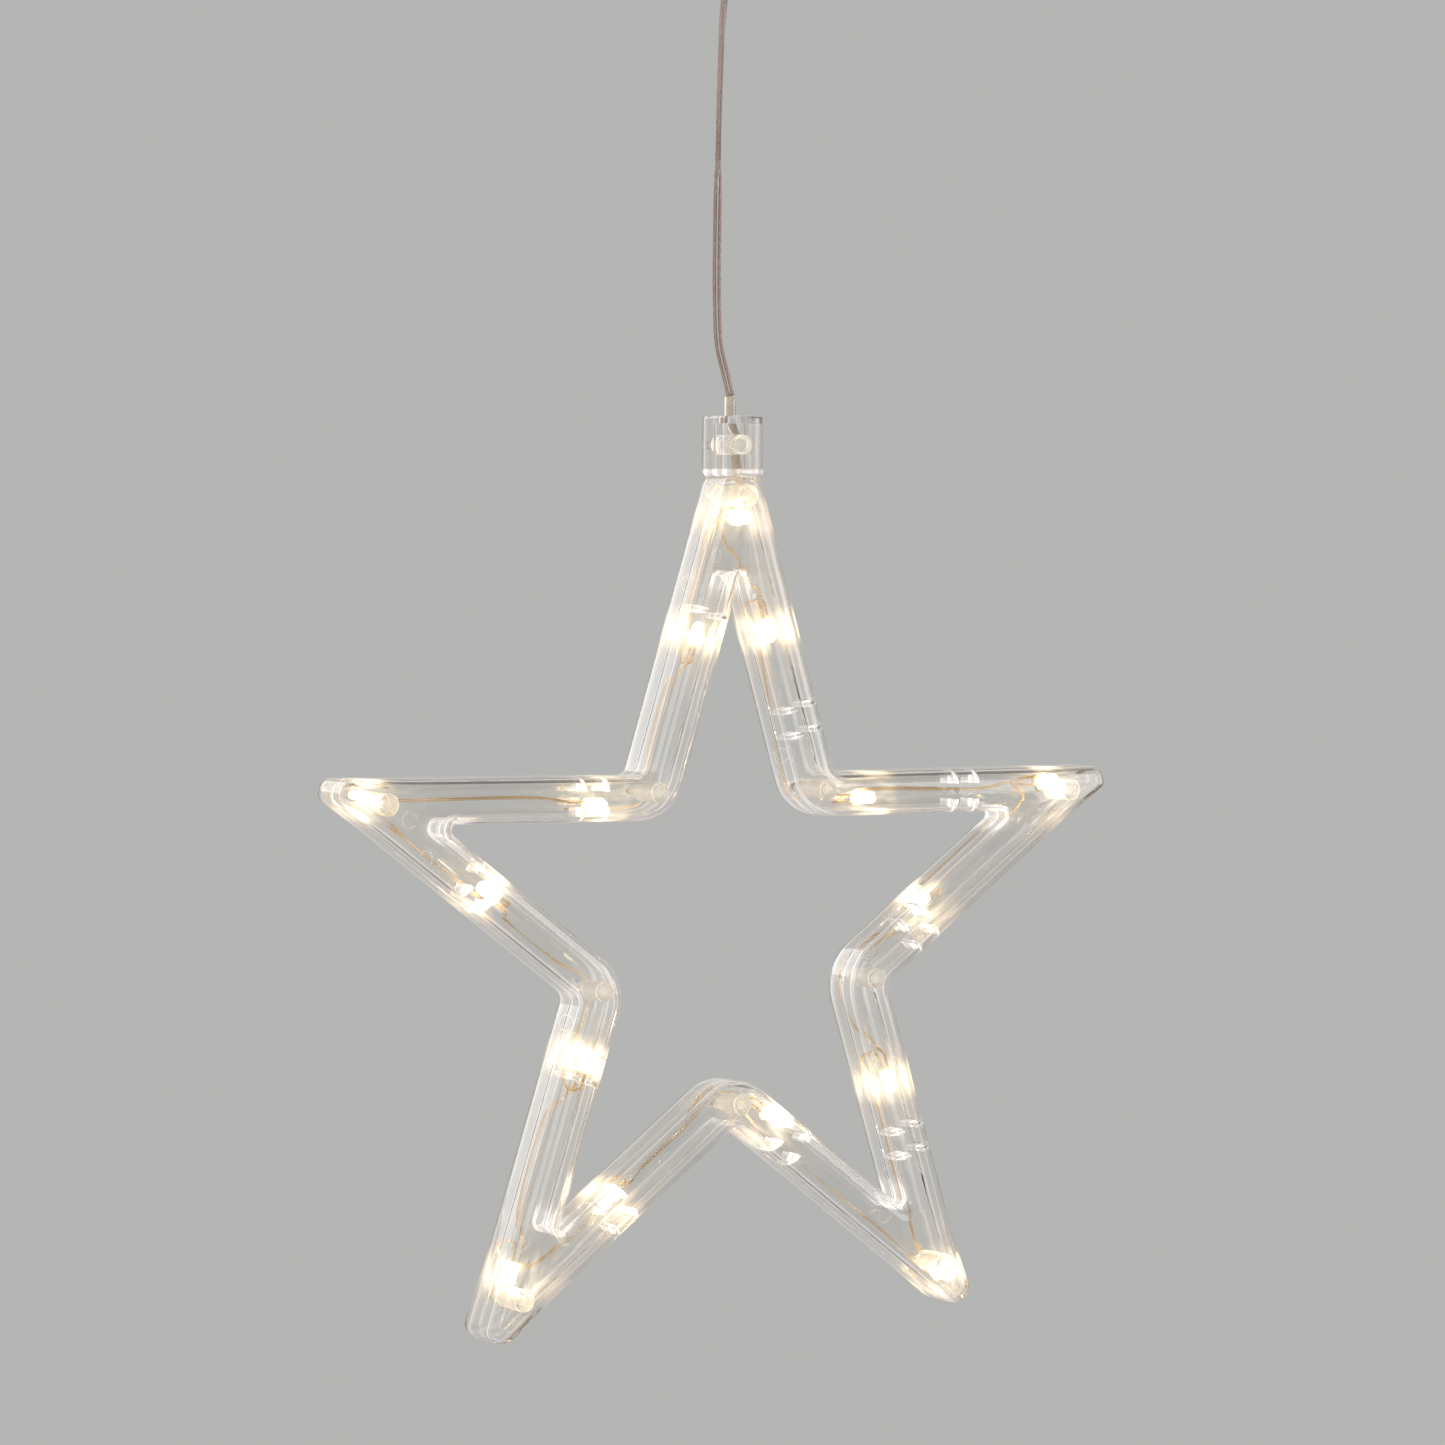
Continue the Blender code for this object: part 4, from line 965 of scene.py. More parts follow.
# Cap and sleeve sizes
cap_height = 0.0143
cap_top_wall = 0.0019
cap_rim = 0.0007
cap_hole_radius = 0.0021
cap_socket_side = -0.0017
cap_socket_height = 0.0074
cap_socket_radius = 0.0024
cap_socket_bore = 0.0013
cap_socket_mouth = 0.0022
cap_post_radius = 0.0010
cap_post_reach = 0.0025
socket_floor = -0.0055
cap_bottom = top_cut + clearance
cap_top = cap_bottom + cap_height
cap_ceiling = cap_top - cap_top_wall
cap_socket_z = cap_bottom + cap_socket_height
sleeve_radius = 0.00145
sleeve_wall = 0.00023
sleeve_stand = 0.0038
sleeve_tail = 0.0011
sleeve_cut_lean = math.radians(27)
sleeve_shares = (
    (-0.18, 0.0, 1.34),
    (-0.18, 0.0, 0.99),
    (-0.13, 0.015, 0.853),
    (0.095, 0.10, 0.77),
    (0.50, 0.265, 0.643),
    (0.583, 0.338, 0.517),
    (0.524, 0.294, 0.371),
    (0.524, 0.206, 0.175),
)
sleeve_route = [
    (x * inner_half_width, y * inner_half_depth, cap_bottom + z * cap_height) for x, y, z in sleeve_shares
]
sleeve_route.append((*sleeve_route[-1][:2], cap_bottom - sleeve_tail))
sleeve_cut_z = cap_top + sleeve_stand
cord_low_end = sleeve_cut_z + sleeve_radius * math.tan(sleeve_cut_lean) + clearance

# Flat twin lead
cord_width = 0.0020
cord_route = (
    (sleeve_route[0][0], 0.0000, cord_low_end),
    (-0.0020, 0.0000, 0.1318),
    (-0.0042, 0.0000, 0.1394),
    (-0.0049, 0.0000, 0.1500),
    (-0.0050, 0.0000, 0.1737),
    (-0.0047, 0.0000, 0.2000),
    (-0.0036, 0.0000, 0.2211),
    (-0.0012, 0.0000, 0.2310),
    (0.0000, 0.0000, 0.2340),
    (0.0000, 0.0000, star_drop - grip_mouth - clearance),
)
cord_core_radius = 0.00030
cord_overlap = 1.03  # the insulations' radius against a quarter of the lead's width
cord_depth_mark = 0.005  # depth in the lead's run, clear of the shells' seam
cord_reading_step = 0.0006
cord_spacing = 0.0010
cord_web_angle = 2.2  # from a strand's outer side to where it meets the web
# Turns of the lead's flat side away from the camera: share of its length from the sleeve, and angle
cord_twist = ((0.0, 0.0), (0.14, 0.05), (0.38, 0.15), (0.55, 1.25), (0.72, 1.15), (0.88, 0.75), (1.0, 0.7))


def twin_profile(width, count=12):
    """Two round insulations side by side, joined by a narrow web."""
    radius = width / 4 * cord_overlap
    points = []
    for side in (1, -1):
        for i in range(count):
            angle = cord_web_angle * (2 * i / (count - 1) - 1) + (0.0 if side > 0 else math.pi)
            points.append((side * (width / 2 - radius) + radius * math.cos(angle), radius * math.sin(angle)))
    return points


def cord_turn(share):
    """Angle of the lead's flat side at a share of its length."""
    for (a, low), (b, high) in zip(cord_twist, cord_twist[1:]):
        if share <= b:
            t = (share - a) / (b - a)
            return low + (high - low) * t * t * (3 - 2 * t)
    return cord_twist[-1][1]


cord_line = evenly(smooth_line(cord_route, cord_reading_step), cord_spacing)
cord_wides = [
    Matrix.Rotation(cord_turn(i / (len(cord_line) - 1)), 3, "Z") @ across for i in range(len(cord_line))
]


def lead_mesh():
    """The clear insulation, marked with its run: distance along it, across its flat side and depth."""
    mesh = swept("lead", cord_line, cord_wides, twin_profile(cord_width))
    low = cord_line[0].z
    runs = [x for v in mesh.vertices for x in (v.co.z - low, v.co.x, cord_depth_mark + v.co.y)]
    marked(mesh, "run", "FLOAT_VECTOR", "POINT", runs)
    return mesh


def cores_mesh():
    """The two copper cores inside the insulation."""
    cores = [circle(cord_core_radius, 8, (side * cord_width / 4, 0.0)) for side in (-1, 1)]
    return swept("lead_cores", cord_line, cord_wides, *cores)


lead = piece("lead", lead_mesh(), "lead", ["cord"], cord_plastic)
lead_cores = piece("lead_cores", cores_mesh(), "lead", [], copper)
for obj in (lead, lead_cores):
    obj.data.shade_smooth()


# Sizes of the half-shells
tip_socket_back = 0.0014
corner_socket_out = 0.0018
tip_socket_radius = 0.0026
corner_socket_radius = 0.00235
socket_mouth = 0.0015
top_socket_mouth = 0.0044
pin_radius = 0.0009
pin_play = 0.0003
pin_reach = 0.0030
pin_collar_radius = 0.0011
pin_collar_length = 0.0016
tab_half_width = 0.0023
tab_thickness = 0.0011
tab_height = 0.0020
tab_play = 0.0004
tip_socket_at = star_radius - tip_socket_back
corner_socket_at = inner_corner_radius + corner_socket_out
socket_bore = pin_radius + pin_play
pin_collar_end = inner_half_depth - pin_collar_length
tab_far = inner_half_depth - tab_play
tab_top = top_cut + tab_height
sleeve_hole = sleeve_radius + clearance

rib_thickness = 0.0011
rib_play = 0.00035
rib_short = 0.0006
rib_pitch = 0.0063
rib_middle_odd_share = 0.7508
rib_middle_even_share = 0.5576
rib_gap_half = lamp_radius + rib_play

lamp_swing = inner_half_width - lamp_flange_radius - clearance
lamp_depth_swing = inner_half_depth - lamp_flange_radius - clearance
lamp_from_tip = 0.0070
lamp_place_shares = (
    ("tip", 0, -2.0, 0.15, -0.66, 1),
    ("arm", 1, 0.4505, -0.15, -0.22, 1, 1),
    ("arm", 2, 0.210, -0.72, 0.0, 1, 1),
    ("near", 2, 1.0, 0.97, -0.92, 1, 1),
    ("arm", 3, 0.640, -0.97, 0.90, -1, 1),
    ("arm", 4, 0.355, 0.08, -0.57, 1, 1),
    ("tip", 2, 1.85, -0.46, -0.22, -1),
    ("ribs", 5, 1.19, -0.97, -0.90, 1, -1),
    ("ribs", 6, -0.40, -0.2, 0.35, 1, 1),
    ("near", 7, 1.0, 0.97, -0.44, 1, -1),
    ("ribs", 7, 0.19, 0.0, -0.99, 1, 1),
    ("ribs", 8, -0.40, 0.0, -0.99, 1, 1),
    ("tip", 4, 2.08, 0.0, -0.66, -1),
    ("ribs", 9, 0.78, -0.97, 0.35, 1, 1),
    ("ribs", 10, -0.40, 0.0, -0.33, 1, 1),
)

bore_sides = 28

# Light in the plastic. Levels are strengths of emission before the material's own strength.
glow_band = 0.0025  # how far a lamp's band of light runs along its arm
glow_across = 0.0085
glow_level = 0.95
glow_most = 1.40
glow_face_share = 0.62  # how much of it a face shows against a wall seen edge-on
glow_socket_share = 2.10
glow_far_reach = 0.0075
glow_far_share = 0.15
glow_limit = 0.0400
tip_spot_share = 0.6  # a tip lamp's spot, half as long as this share of the lamp's radius
wall_level = 0.24
inner_wall_share = 0.45
socket_level = 0.06
socket_front_level = 1.20
rib_level = 1.00
rib_edge_level = 0.40
slab_level = 0.60
foot_level = 0.70
foot_face_share = 0.4
cap_mouth_level = 0.55
cap_boss_level = 0.05
corner_level = 0.20
corner_reach = 0.0065
corner_face_share = 0.3
spike_level = 0.55
spike_reach = 0.0050
sleeve_level = 0.30
wire_level = 0.10

# Rings at the ends of the sockets and the cap's boss, and the cap's foot, that look brighter
socket_ring = 0.0007
cap_ring = 0.0005
cap_foot = 0.0015

# Frost of the faces, which also sets a painted white glow on them
socket_frost_and_glow = 0.42
mouth_frost_and_glow = 0.68
cap_mouth_frost_and_glow = 0.80
cap_boss_frost_and_glow = 0.10
cap_foot_frost_and_glow = 0.50
rib_plate_frost_and_glow = 0.70
rib_edge_frost_and_glow = 0.25
ring_frost_and_glow = 0.75

# Round marks of the ejector pins on the rear face
ring_radius = 0.0019
ring_wire = 0.00016
ring_at_tip = 0.0893  # from the star's centre, on a tip's axis
ring_from_corner = 0.0096
ring_from_tip = 0.0238


def rib_middle(arm):
    return arm_length * (rib_middle_odd_share if arm % 2 else rib_middle_even_share)


def lamp_along(place):
    """Distance of a lamp from its arm's start."""
    kind, arm, share = place[:3]
    if kind == "arm":
        return share * arm_length
    if kind == "near":
        return share * lamp_from_tip if arm % 2 else arm_length - share * lamp_from_tip
    return rib_middle(arm) + share * rib_pitch


def lamp_pose(place):
    """Middle, dome direction and leg direction (towards leg A) of a lamp."""
    if place[0] == "tip":
        _, tip, out_share, side_share, depth_share, leg_a = place
        radius = tip_socket_at + out_share * tip_socket_radius
        middle = in_tip(tip, radius, side_share * lamp_swing, depth_share * lamp_depth_swing)
        return middle, -rear_way, in_tip(tip, 0.0, 1.0, 0.0) * leg_a
    _, arm, _, side_share, depth_share, leg_a, way = place
    _, forward, out = arm_axes(arm)
    middle = in_arm(arm, lamp_along(place), side_share * lamp_swing, depth_share * lamp_depth_swing)
    return middle, forward * way, out * leg_a


def socket_places():
    """Distance from the star's centre, angle, radius and depth of the mouth of each socket."""
    for k in range(tip_count):
        mouth = top_socket_mouth if k == 0 else socket_mouth
        yield tip_socket_at, heading(k), tip_socket_radius, mouth
        yield corner_socket_at, heading(k) - turn / 2, corner_socket_radius, socket_mouth


lamp_poses = [lamp_pose(place) for place in lamp_place_shares]
spikes = [polar(spike_flat_radius, heading(k)) for k in range(tip_count)]
ring_centres = [polar(ring_at_tip, heading(k), inner_half_depth) for k in range(tip_count)]
ring_centres += [
    in_arm(arm, arm_length - (ring_from_corner if arm % 2 else ring_from_tip), 0.0, inner_half_depth)
    for arm in range(1, 2 * tip_count + 1)
]
# Sockets as (x, z, radius), with the cap's boss as the last
socket_list = [(*polar(radius, angle).xz, size) for radius, angle, size, _ in socket_places()]
corner_sockets = socket_list[1::2]
socket_list.append((cap_socket_side, cap_socket_z, cap_socket_radius))


# Light that the plastic shows
def light_spots():
    """Middle, half length and way along the tube of each lamp's light."""
    for place, (middle, dome, _) in zip(lamp_place_shares, lamp_poses):
        if place[0] == "tip":
            yield middle, lamp_radius * tip_spot_share, polar(1.0, heading(place[1]))
        else:
            yield middle + dome * (lamp_front - lamp_back) / 2, (lamp_front + lamp_back) / 4, dome


spots = list(light_spots())


def edge_on(way):
    """How far a surface with this way out stands edge-on to the star's face."""
    return (1.0 - abs(way.y)) ** 2


def glow_at(place, edge_share):
    """How much of the lamps' light the plastic at a place shows: a band across the arm, and a faint rest."""
    total = 0.0
    for middle, half_length, way in spots:
        away = place - middle
        if away.length > glow_limit:
            continue
        along = abs(away.dot(way))
        beyond = max(along - half_length, 0.0)
        aside = math.sqrt(max(away.length_squared - along * along, 0.0))
        band_share = math.exp(-((beyond / glow_band) ** 3) - (aside / glow_across) ** 2)
        total += glow_level * band_share * (glow_face_share + (1.0 - glow_face_share) * edge_share)
        total += glow_far_share * math.exp(-away.length / glow_far_reach)
    return min(total, glow_most)


def flat_distance(place, x, z):
    """Distance of a place from an axis through the star, from front to rear."""
    return math.hypot(place.x - x, place.z - z)


def in_socket(place):
    """Whether a place is on one of the moulded sockets inside the tube or the cap."""
    if abs(place.y) > inner_half_depth + root:
        return False
    return any(flat_distance(place, x, z) < size + near_enough for x, z, size in socket_list)


def in_cap_ring(place):
    """Whether a place on the cap's boss is in the ring at its mouth."""
    return 0.0 < place.y - cap_socket_mouth + cap_ring < cap_ring + clearance


def on_rib(place):
    """Whether a place is on a rib's free part, off the tube's walls."""
    if not root - inner_half_depth < place.y < root - rib_short:
        return False
    arm = arm_of(place)
    along, offset, _ = run_of(place)
    away = abs(along - arm * arm_length - rib_middle(arm + 1))
    beside = abs(away - rib_pitch / 2) < rib_thickness / 2 + near_enough
    return beside and abs(offset) < inner_half_width - root


def on_rib_plate(place, way):
    """Whether a rib's surface at a place is one of its two broad faces."""
    return abs(way.dot(arms[arm_of(place)][1])) > 0.5


def on_ring(place):
    """Whether a place is on the round mark of an ejector pin."""
    if abs(place.y - inner_half_depth) > 1.5 * ring_wire:
        return False
    return any(abs((place - c).length - ring_radius) < 1.5 * ring_wire for c in ring_centres)


def wall_glow_at(place, way, level, slab, foot):
    """How much light a wall holds at a place: most where it is seen edge-on, less inside the tube."""
    share = edge_on(way)
    if on_rib(place):
        return rib_level if on_rib_plate(place, way) else rib_edge_level
    if in_socket(place):
        if place.z > top_cut:
            return share * (cap_mouth_level if in_cap_ring(place) else cap_boss_level)
        at_front = place.y < -inner_half_depth + socket_ring
        return share * (socket_front_level if at_front else socket_level)
    if any(flat_distance(place, at.x, at.z) < spike_reach for at in spikes):
        return share * spike_level
    if top_cut < place.z < cap_bottom + cap_foot + near_enough:
        return foot * (foot_face_share + (1.0 - foot_face_share) * share)
    shine = share * (level + (slab - level) * way.z**4)
    _, offset, depth = run_of(place)
    inwards = way.dot(arms[arm_of(place)][2]) * offset + way.y * depth < 0.0
    near = min(flat_distance(place, x, z) for x, z, _ in corner_sockets)
    # A painted glow round the corner sockets, fading away from them
    haze = corner_level * math.exp(-((near / corner_reach) ** 2))
    corner_glow = haze * (corner_face_share + (1.0 - corner_face_share) * share)
    return shine * (inner_wall_share if inwards else 1.0) + corner_glow


def frost_and_glow_of(mesh, face):
    """How frosted a face is, which also sets its painted white glow: sockets and ribs look milky and glow,
    their ends most, and walls are clear.
    """
    places = [mesh.vertices[i].co for i in face.vertices]
    if all(in_socket(p) for p in places):
        if face.center.z > top_cut:
            if in_cap_ring(face.center):
                return cap_mouth_frost_and_glow
            return cap_foot_frost_and_glow if face.center.y < -flat_half_depth else cap_boss_frost_and_glow
        if abs(face.normal.y) > 0.9 or face.center.y < -inner_half_depth + socket_ring:
            return mouth_frost_and_glow
        return socket_frost_and_glow
    if all(on_rib(p) for p in places):
        return rib_plate_frost_and_glow if on_rib_plate(face.center, face.normal) else rib_edge_frost_and_glow
    if all(on_ring(p) for p in places):
        return ring_frost_and_glow
    return 0.0


def lit(mesh, level=wall_level, slab=wall_level, foot=wall_level):
    """Mark a piece's mesh with the light that it shows, its frost and the painted glow that comes with it,
    and its run round the star.
    """
    glow, runs = [], []
    for vertex in mesh.vertices:
        caught = glow_at(vertex.co, edge_on(vertex.normal))
        glow.append(caught * (glow_socket_share if in_socket(vertex.co) else 1.0))
        runs += run_of(vertex.co)
    places = [mesh.vertices[loop.vertex_index].co for loop in mesh.loops]
    walls = [
        wall_glow_at(place, normal.vector, level, slab, foot)
        for place, normal in zip(places, mesh.corner_normals)
    ]
    marked(mesh, "lamp_glow", "FLOAT", "POINT", glow)
    marked(mesh, "wall_glow", "FLOAT", "CORNER", walls)
    marked(mesh, "run", "FLOAT_VECTOR", "POINT", runs)
    marked(mesh, "frost_and_glow", "FLOAT", "FACE", [frost_and_glow_of(mesh, face) for face in mesh.polygons])
    return mesh


# Sockets, pins and what passes through the shells
def front_sockets(bm):
    far = -(inner_half_depth + root)
    for radius, angle, size, mouth in socket_places():
        cylinder(bm, size, polar(radius, angle, far), polar(radius, angle, mouth))


def front_bores(bm):
    for radius, angle, _, mouth in socket_places():
        start, end = polar(radius, angle, socket_floor), polar(radius, angle, mouth + overrun)
        cylinder(bm, socket_bore, start, end, bore_sides)


def collar_of(size, mouth):
    """Radius and near end of the collar that meets a socket: the top one is as thick as its socket."""
    if mouth == top_socket_mouth:
        return size, mouth + clearance
    return pin_collar_radius, pin_collar_end


def rear_collars(bm):
    far = inner_half_depth + root
    for radius, angle, size, mouth in socket_places():
        collar, end = collar_of(size, mouth)
        cylinder(bm, collar, polar(radius, angle, end), polar(radius, angle, far))


def rear_pins(bm):
    for radius, angle, size, mouth in socket_places():
        _, collar_end = collar_of(size, mouth)
        start, end = polar(radius, angle, mouth - pin_reach), polar(radius, angle, collar_end + root)
        cylinder(bm, pin_radius, start, end, bore_sides)


def lead_opening(bm):
    x, y, _ = sleeve_route[-1]
    cylinder(bm, sleeve_hole, Vector((x, y, top_cut - wall - overrun)), Vector((x, y, tab_top + overrun)))


def cap_tab(side):
    def draw(bm):
        low, high = sorted((side * (tab_far - tab_thickness), side * tab_far))
        box(bm, (-tab_half_width, low, top_cut - wall / 2), (tab_half_width, high, tab_top))

    return draw


# Lamp ribs
def rib_tree(sizes):
    """A block that follows the arm's rounded inner corner, at every point given."""
    tree, given, out = geometry_group("lamp_ribs", sizes)
    width, thickness = given["Width"], given["Thickness"]
    down = maths(tree, "MULTIPLY", given["Height"], -1.0)
    corners = {
        "Point 1": (0.0, 0.0, 0.0),
        "Point 2": vector(tree, width),
        "Point 3": vector(tree, width, down),
        "Point 4": vector(tree, 0.0, down),
    }
    side = node(tree, "GeometryNodeCurvePrimitiveQuadrilateral", corners, mode="POINTS")
    index = node(tree, "GeometryNodeInputIndex").outputs[0]
    # Only Point 3, at the corner of the arm's walls, is rounded
    at_corner = node(tree, "FunctionNodeCompare", {2: index, 3: 2}, data_type="INT", operation="EQUAL")
    radii = {"Switch": at_corner.outputs[0], "False": 0.0, "True": given["Corner"]}
    radius = node(tree, "GeometryNodeSwitch", radii, input_type="FLOAT").outputs[0]
    bend = {
        "Curve": side.outputs["Curve"],
        "Radius": radius,
        "Count": given["Corner Points"],
        "Limit Radius": True,
    }
    rounded = node(tree, "GeometryNodeFilletCurve", bend, mode="POLY").outputs["Curve"]
    face = node(tree, "GeometryNodeFillCurve", {"Curve": rounded}, mode="NGONS").outputs["Mesh"]
    rise = {"Mesh": face, "Offset": (0.0, 0.0, 1.0), "Offset Scale": thickness, "Individual": False}
    raised = node(tree, "GeometryNodeExtrudeMesh", rise).outputs["Mesh"]
    back = node(tree, "GeometryNodeFlipFaces", {"Mesh": face}).outputs["Mesh"]
    body = joined(tree, raised, back)
    merging = {"Geometry": body, "Distance": given["Merge Distance"]}
    whole = node(tree, "GeometryNodeMergeByDistance", merging)
    down_half = maths(tree, "MULTIPLY", thickness, -0.5)
    centred = placed(tree, whole.outputs[0], vector(tree, z=down_half))
    real = real_copies(tree, given["Geometry"], centred, "arm_way", "rib_way")
    link_to(tree, out, Geometry=coated(tree, real, given["Material"]))
    return tree


def rib_points():
    """One point for each rib: at its lamp side, on the seam side, with its way out and the arm's way."""
    places, ways, outs = [], [], []
    for arm in range(1, 2 * tip_count + 1):
        _, forward, out = arm_axes(arm)
        for along in (rib_middle(arm) - rib_pitch / 2, rib_middle(arm) + rib_pitch / 2):
            for side in (-1, 1):
                places.append(in_arm(arm, along, side * rib_gap_half, -rib_short))
                outs.append(out * side)
                ways.append(out.cross(rear_way) * side)
    return points_mesh("rib_points", places, arm_way=ways, rib_way=outs)


rib_sizes = {
    "Thickness": rib_thickness,
    "Width": inner_half_width + root - rib_gap_half,
    "Height": inner_half_depth + root - rib_short,
    "Corner": arm_corner - wall + root,
    "Corner Points": 6,
    "Merge Distance": 0.00001,
    "Material": shell_plastic,
}
ribs = grown("ribs", rib_tree(rib_sizes), rib_points(), rib_sizes)


# Ejector marks
def ring_tree(sizes):
    """The raised round mark of an ejector pin, at every point given."""
    tree, given, out = geometry_group("ejector_marks", sizes)
    line = circle_curve(tree, given["Radius"], given["Ring Points"])
    bead = circle_curve(tree, given["Bead"], given["Bead Points"])
    ring = node(tree, "GeometryNodeCurveToMesh", {"Curve": line, "Profile Curve": bead}).outputs[0]
    real = real_copies(tree, given["Geometry"], ring, "depth_way", "wall_way")
    link_to(tree, out, Geometry=coated(tree, real, given["Material"]))
    return tree


def ring_points():
    """One point for each mark, with the ways that its ring faces and starts from."""
    count = len(ring_centres)
    sideways = Vector((1.0, 0.0, 0.0))
    return points_mesh("ring_points", ring_centres, depth_way=[rear_way] * count, wall_way=[sideways] * count)


ring_sizes = {
    "Radius": ring_radius,
    "Bead": ring_wire,
    "Ring Points": 40,
    "Bead Points": 8,
    "Material": shell_plastic,
}
ring_marks = grown("ring_marks", ring_tree(ring_sizes), ring_points(), ring_sizes)


# Half-shells
def shell_tree(sizes):
    """The skins of a half-shell: a rounded half-section carried round the star's outline."""
    tree, given, out = geometry_group("half_shell", sizes)

    def number(operation, *values, clamped=False):
        return maths(tree, operation, *values, clamped=clamped)

    def on_points(value, at):
        """A value read from the outline's points."""
        inputs = {"Geometry": given["Geometry"], "Value": value, "Index": at}
        kind = {"data_type": "FLOAT_VECTOR", "domain": "POINT"}
        return node(tree, "GeometryNodeSampleIndex", inputs, **kind).outputs["Value"]

    # Counts of stations over a skin, of rows over both skins and of points along a row
    edge_stations = number("ADD", given["Side Steps"], given["Corner Steps"])
    last = number("ADD", number("MULTIPLY", edge_stations, 2.0), given["Flat Steps"])
    rows = number("MULTIPLY", number("ADD", last, 1.0), 2.0)
    row_points = number("ADD", given["Outline Points"], 1.0)
    counts = {"Vertices X": number("ADD", rows, 1.0), "Vertices Y": row_points}
    sheet = node(tree, "GeometryNodeMeshGrid", {"Size X": 1.0, "Size Y": 1.0, **counts})

    # Each point's row and place along it. The inner skin's rows run back from the outer's last
    index = node(tree, "GeometryNodeInputIndex").outputs[0]
    row = number("MODULO", number("FLOOR", number("DIVIDE", index, row_points)), rows)
    along = number("MODULO", number("MODULO", index, row_points), given["Outline Points"])
    inside = number("GREATER_THAN", row, number("ADD", last, 0.5))
    mirrored = number("SUBTRACT", number("SUBTRACT", rows, 1.0), number("MULTIPLY", row, 2.0))
    station = number("ADD", row, number("MULTIPLY", inside, mirrored))
    from_edge = number("MINIMUM", station, number("SUBTRACT", last, station))

    # Depth and inset: up the straight side, then round the corner
    up_side = number("DIVIDE", from_edge, given["Side Steps"], clamped=True)
    past_side = number("SUBTRACT", from_edge, given["Side Steps"])
    round_corner_share = number("DIVIDE", past_side, given["Corner Steps"], clamped=True)
    turned_by = number("MULTIPLY", round_corner_share, math.pi / 2)
    radius = number("SUBTRACT", given["Corner Radius"], number("MULTIPLY", inside, given["Wall"]))
    inset = number("MULTIPLY", radius, number("SUBTRACT", 1.0, number("COSINE", turned_by)))
    seam = number("MULTIPLY", given["Seam Gap"], 0.5)
    straight = number("MULTIPLY", number("SUBTRACT", given["Straight Depth"], seam), up_side)
    raised = number("MULTIPLY", radius, number("SINE", turned_by))
    depth = number("MULTIPLY", number("ADD", number("ADD", seam, straight), raised), given["Side"])

    # Across the flat face, from the outer edge's point to the hole edge's
    past_edge = number("SUBTRACT", station, edge_stations)
    over_flat = number("DIVIDE", past_edge, given["Flat Steps"], clamped=True)
    skin_start = number("MULTIPLY", number("MULTIPLY", inside, 2.0), given["Outline Points"])
    own = number("ADD", skin_start, along)
    position = node(tree, "GeometryNodeInputPosition").outputs[0]
    way = named(tree, "rounding_way")
    edges = []
    for at in (own, number("ADD", own, given["Outline Points"])):
        drift = vector_maths(tree, "SCALE", on_points(way, at), inset)
        edges.append(vector_maths(tree, "ADD", on_points(position, at), drift))
    between = {"Factor": over_flat, "A": edges[0], "B": edges[1]}
    flat_place = node(tree, "ShaderNodeMix", between, data_type="VECTOR").outputs["Result"]
    place = vector_maths(tree, "ADD", flat_place, vector(tree, y=depth))
    laid = node(tree, "GeometryNodeSetPosition", {"Geometry": sheet.outputs["Mesh"], "Position": place})
    merging = {"Geometry": laid.outputs[0], "Distance": given["Merge Distance"]}
    closed = node(tree, "GeometryNodeMergeByDistance", merging)
    real = node(tree, "GeometryNodeRealizeInstances", {"Geometry": closed.outputs[0]})
    link_to(tree, out, Geometry=coated(tree, real.outputs[0], given["Material"]))
    return tree


star_outline = outline_points()
shell_sizes = {
    "Outline Points": len(star_outline.vertices) // 4,
    "Side": 1.0,
    "Straight Depth": flat_half_depth,
    "Corner Radius": arm_corner,
    "Wall": wall,
    "Seam Gap": seam_gap,
    "Side Steps": side_steps,
    "Corner Steps": corner_steps,
    "Flat Steps": flat_steps,
    "Merge Distance": 0.000002,
    "Material": shell_plastic,
}
moulded_half = shell_tree(shell_sizes)


def half_shell(name, side):
    """The moulded skins of one half-shell, front (-1) or rear (1), facing outwards."""
    mesh = grown(name, moulded_half, star_outline, {**shell_sizes, "Side": float(side)})
    bm = bmesh.new()
    bm.from_mesh(mesh)
    bmesh.ops.recalc_face_normals(bm, faces=bm.faces)
    bm.to_mesh(mesh)
    bm.free()
    return mesh


ring_cut = (rear_way, socket_ring - inner_half_depth)
for name, node_name, side, steps in (
    (
        "front_half",
        "front_shell",
        -1,
        [
            ("UNION", mesh_of("sockets", front_sockets)),
            ("UNION", ribs),
            ("DIFFERENCE", mesh_of("bores", front_bores)),
            ("UNION", mesh_of("tab", cap_tab(-1))),
            ("DIFFERENCE", mesh_of("opening", lead_opening)),
        ],
    ),
    (
        "rear_half",
        "rear_shell",
        1,
        [
            ("UNION", mesh_of("collars", rear_collars)),
            ("UNION", mesh_of("pins", rear_pins)),
            ("UNION", ring_marks),
            ("UNION", mesh_of("tab", cap_tab(1))),
            ("DIFFERENCE", mesh_of("opening", lead_opening)),
        ],
    ),
):
    whole = parted(combined(name, half_shell(name, side), steps), [ring_cut])
    piece(name, lit(soft_shaded(whole)), "star", [node_name], shell_plastic)


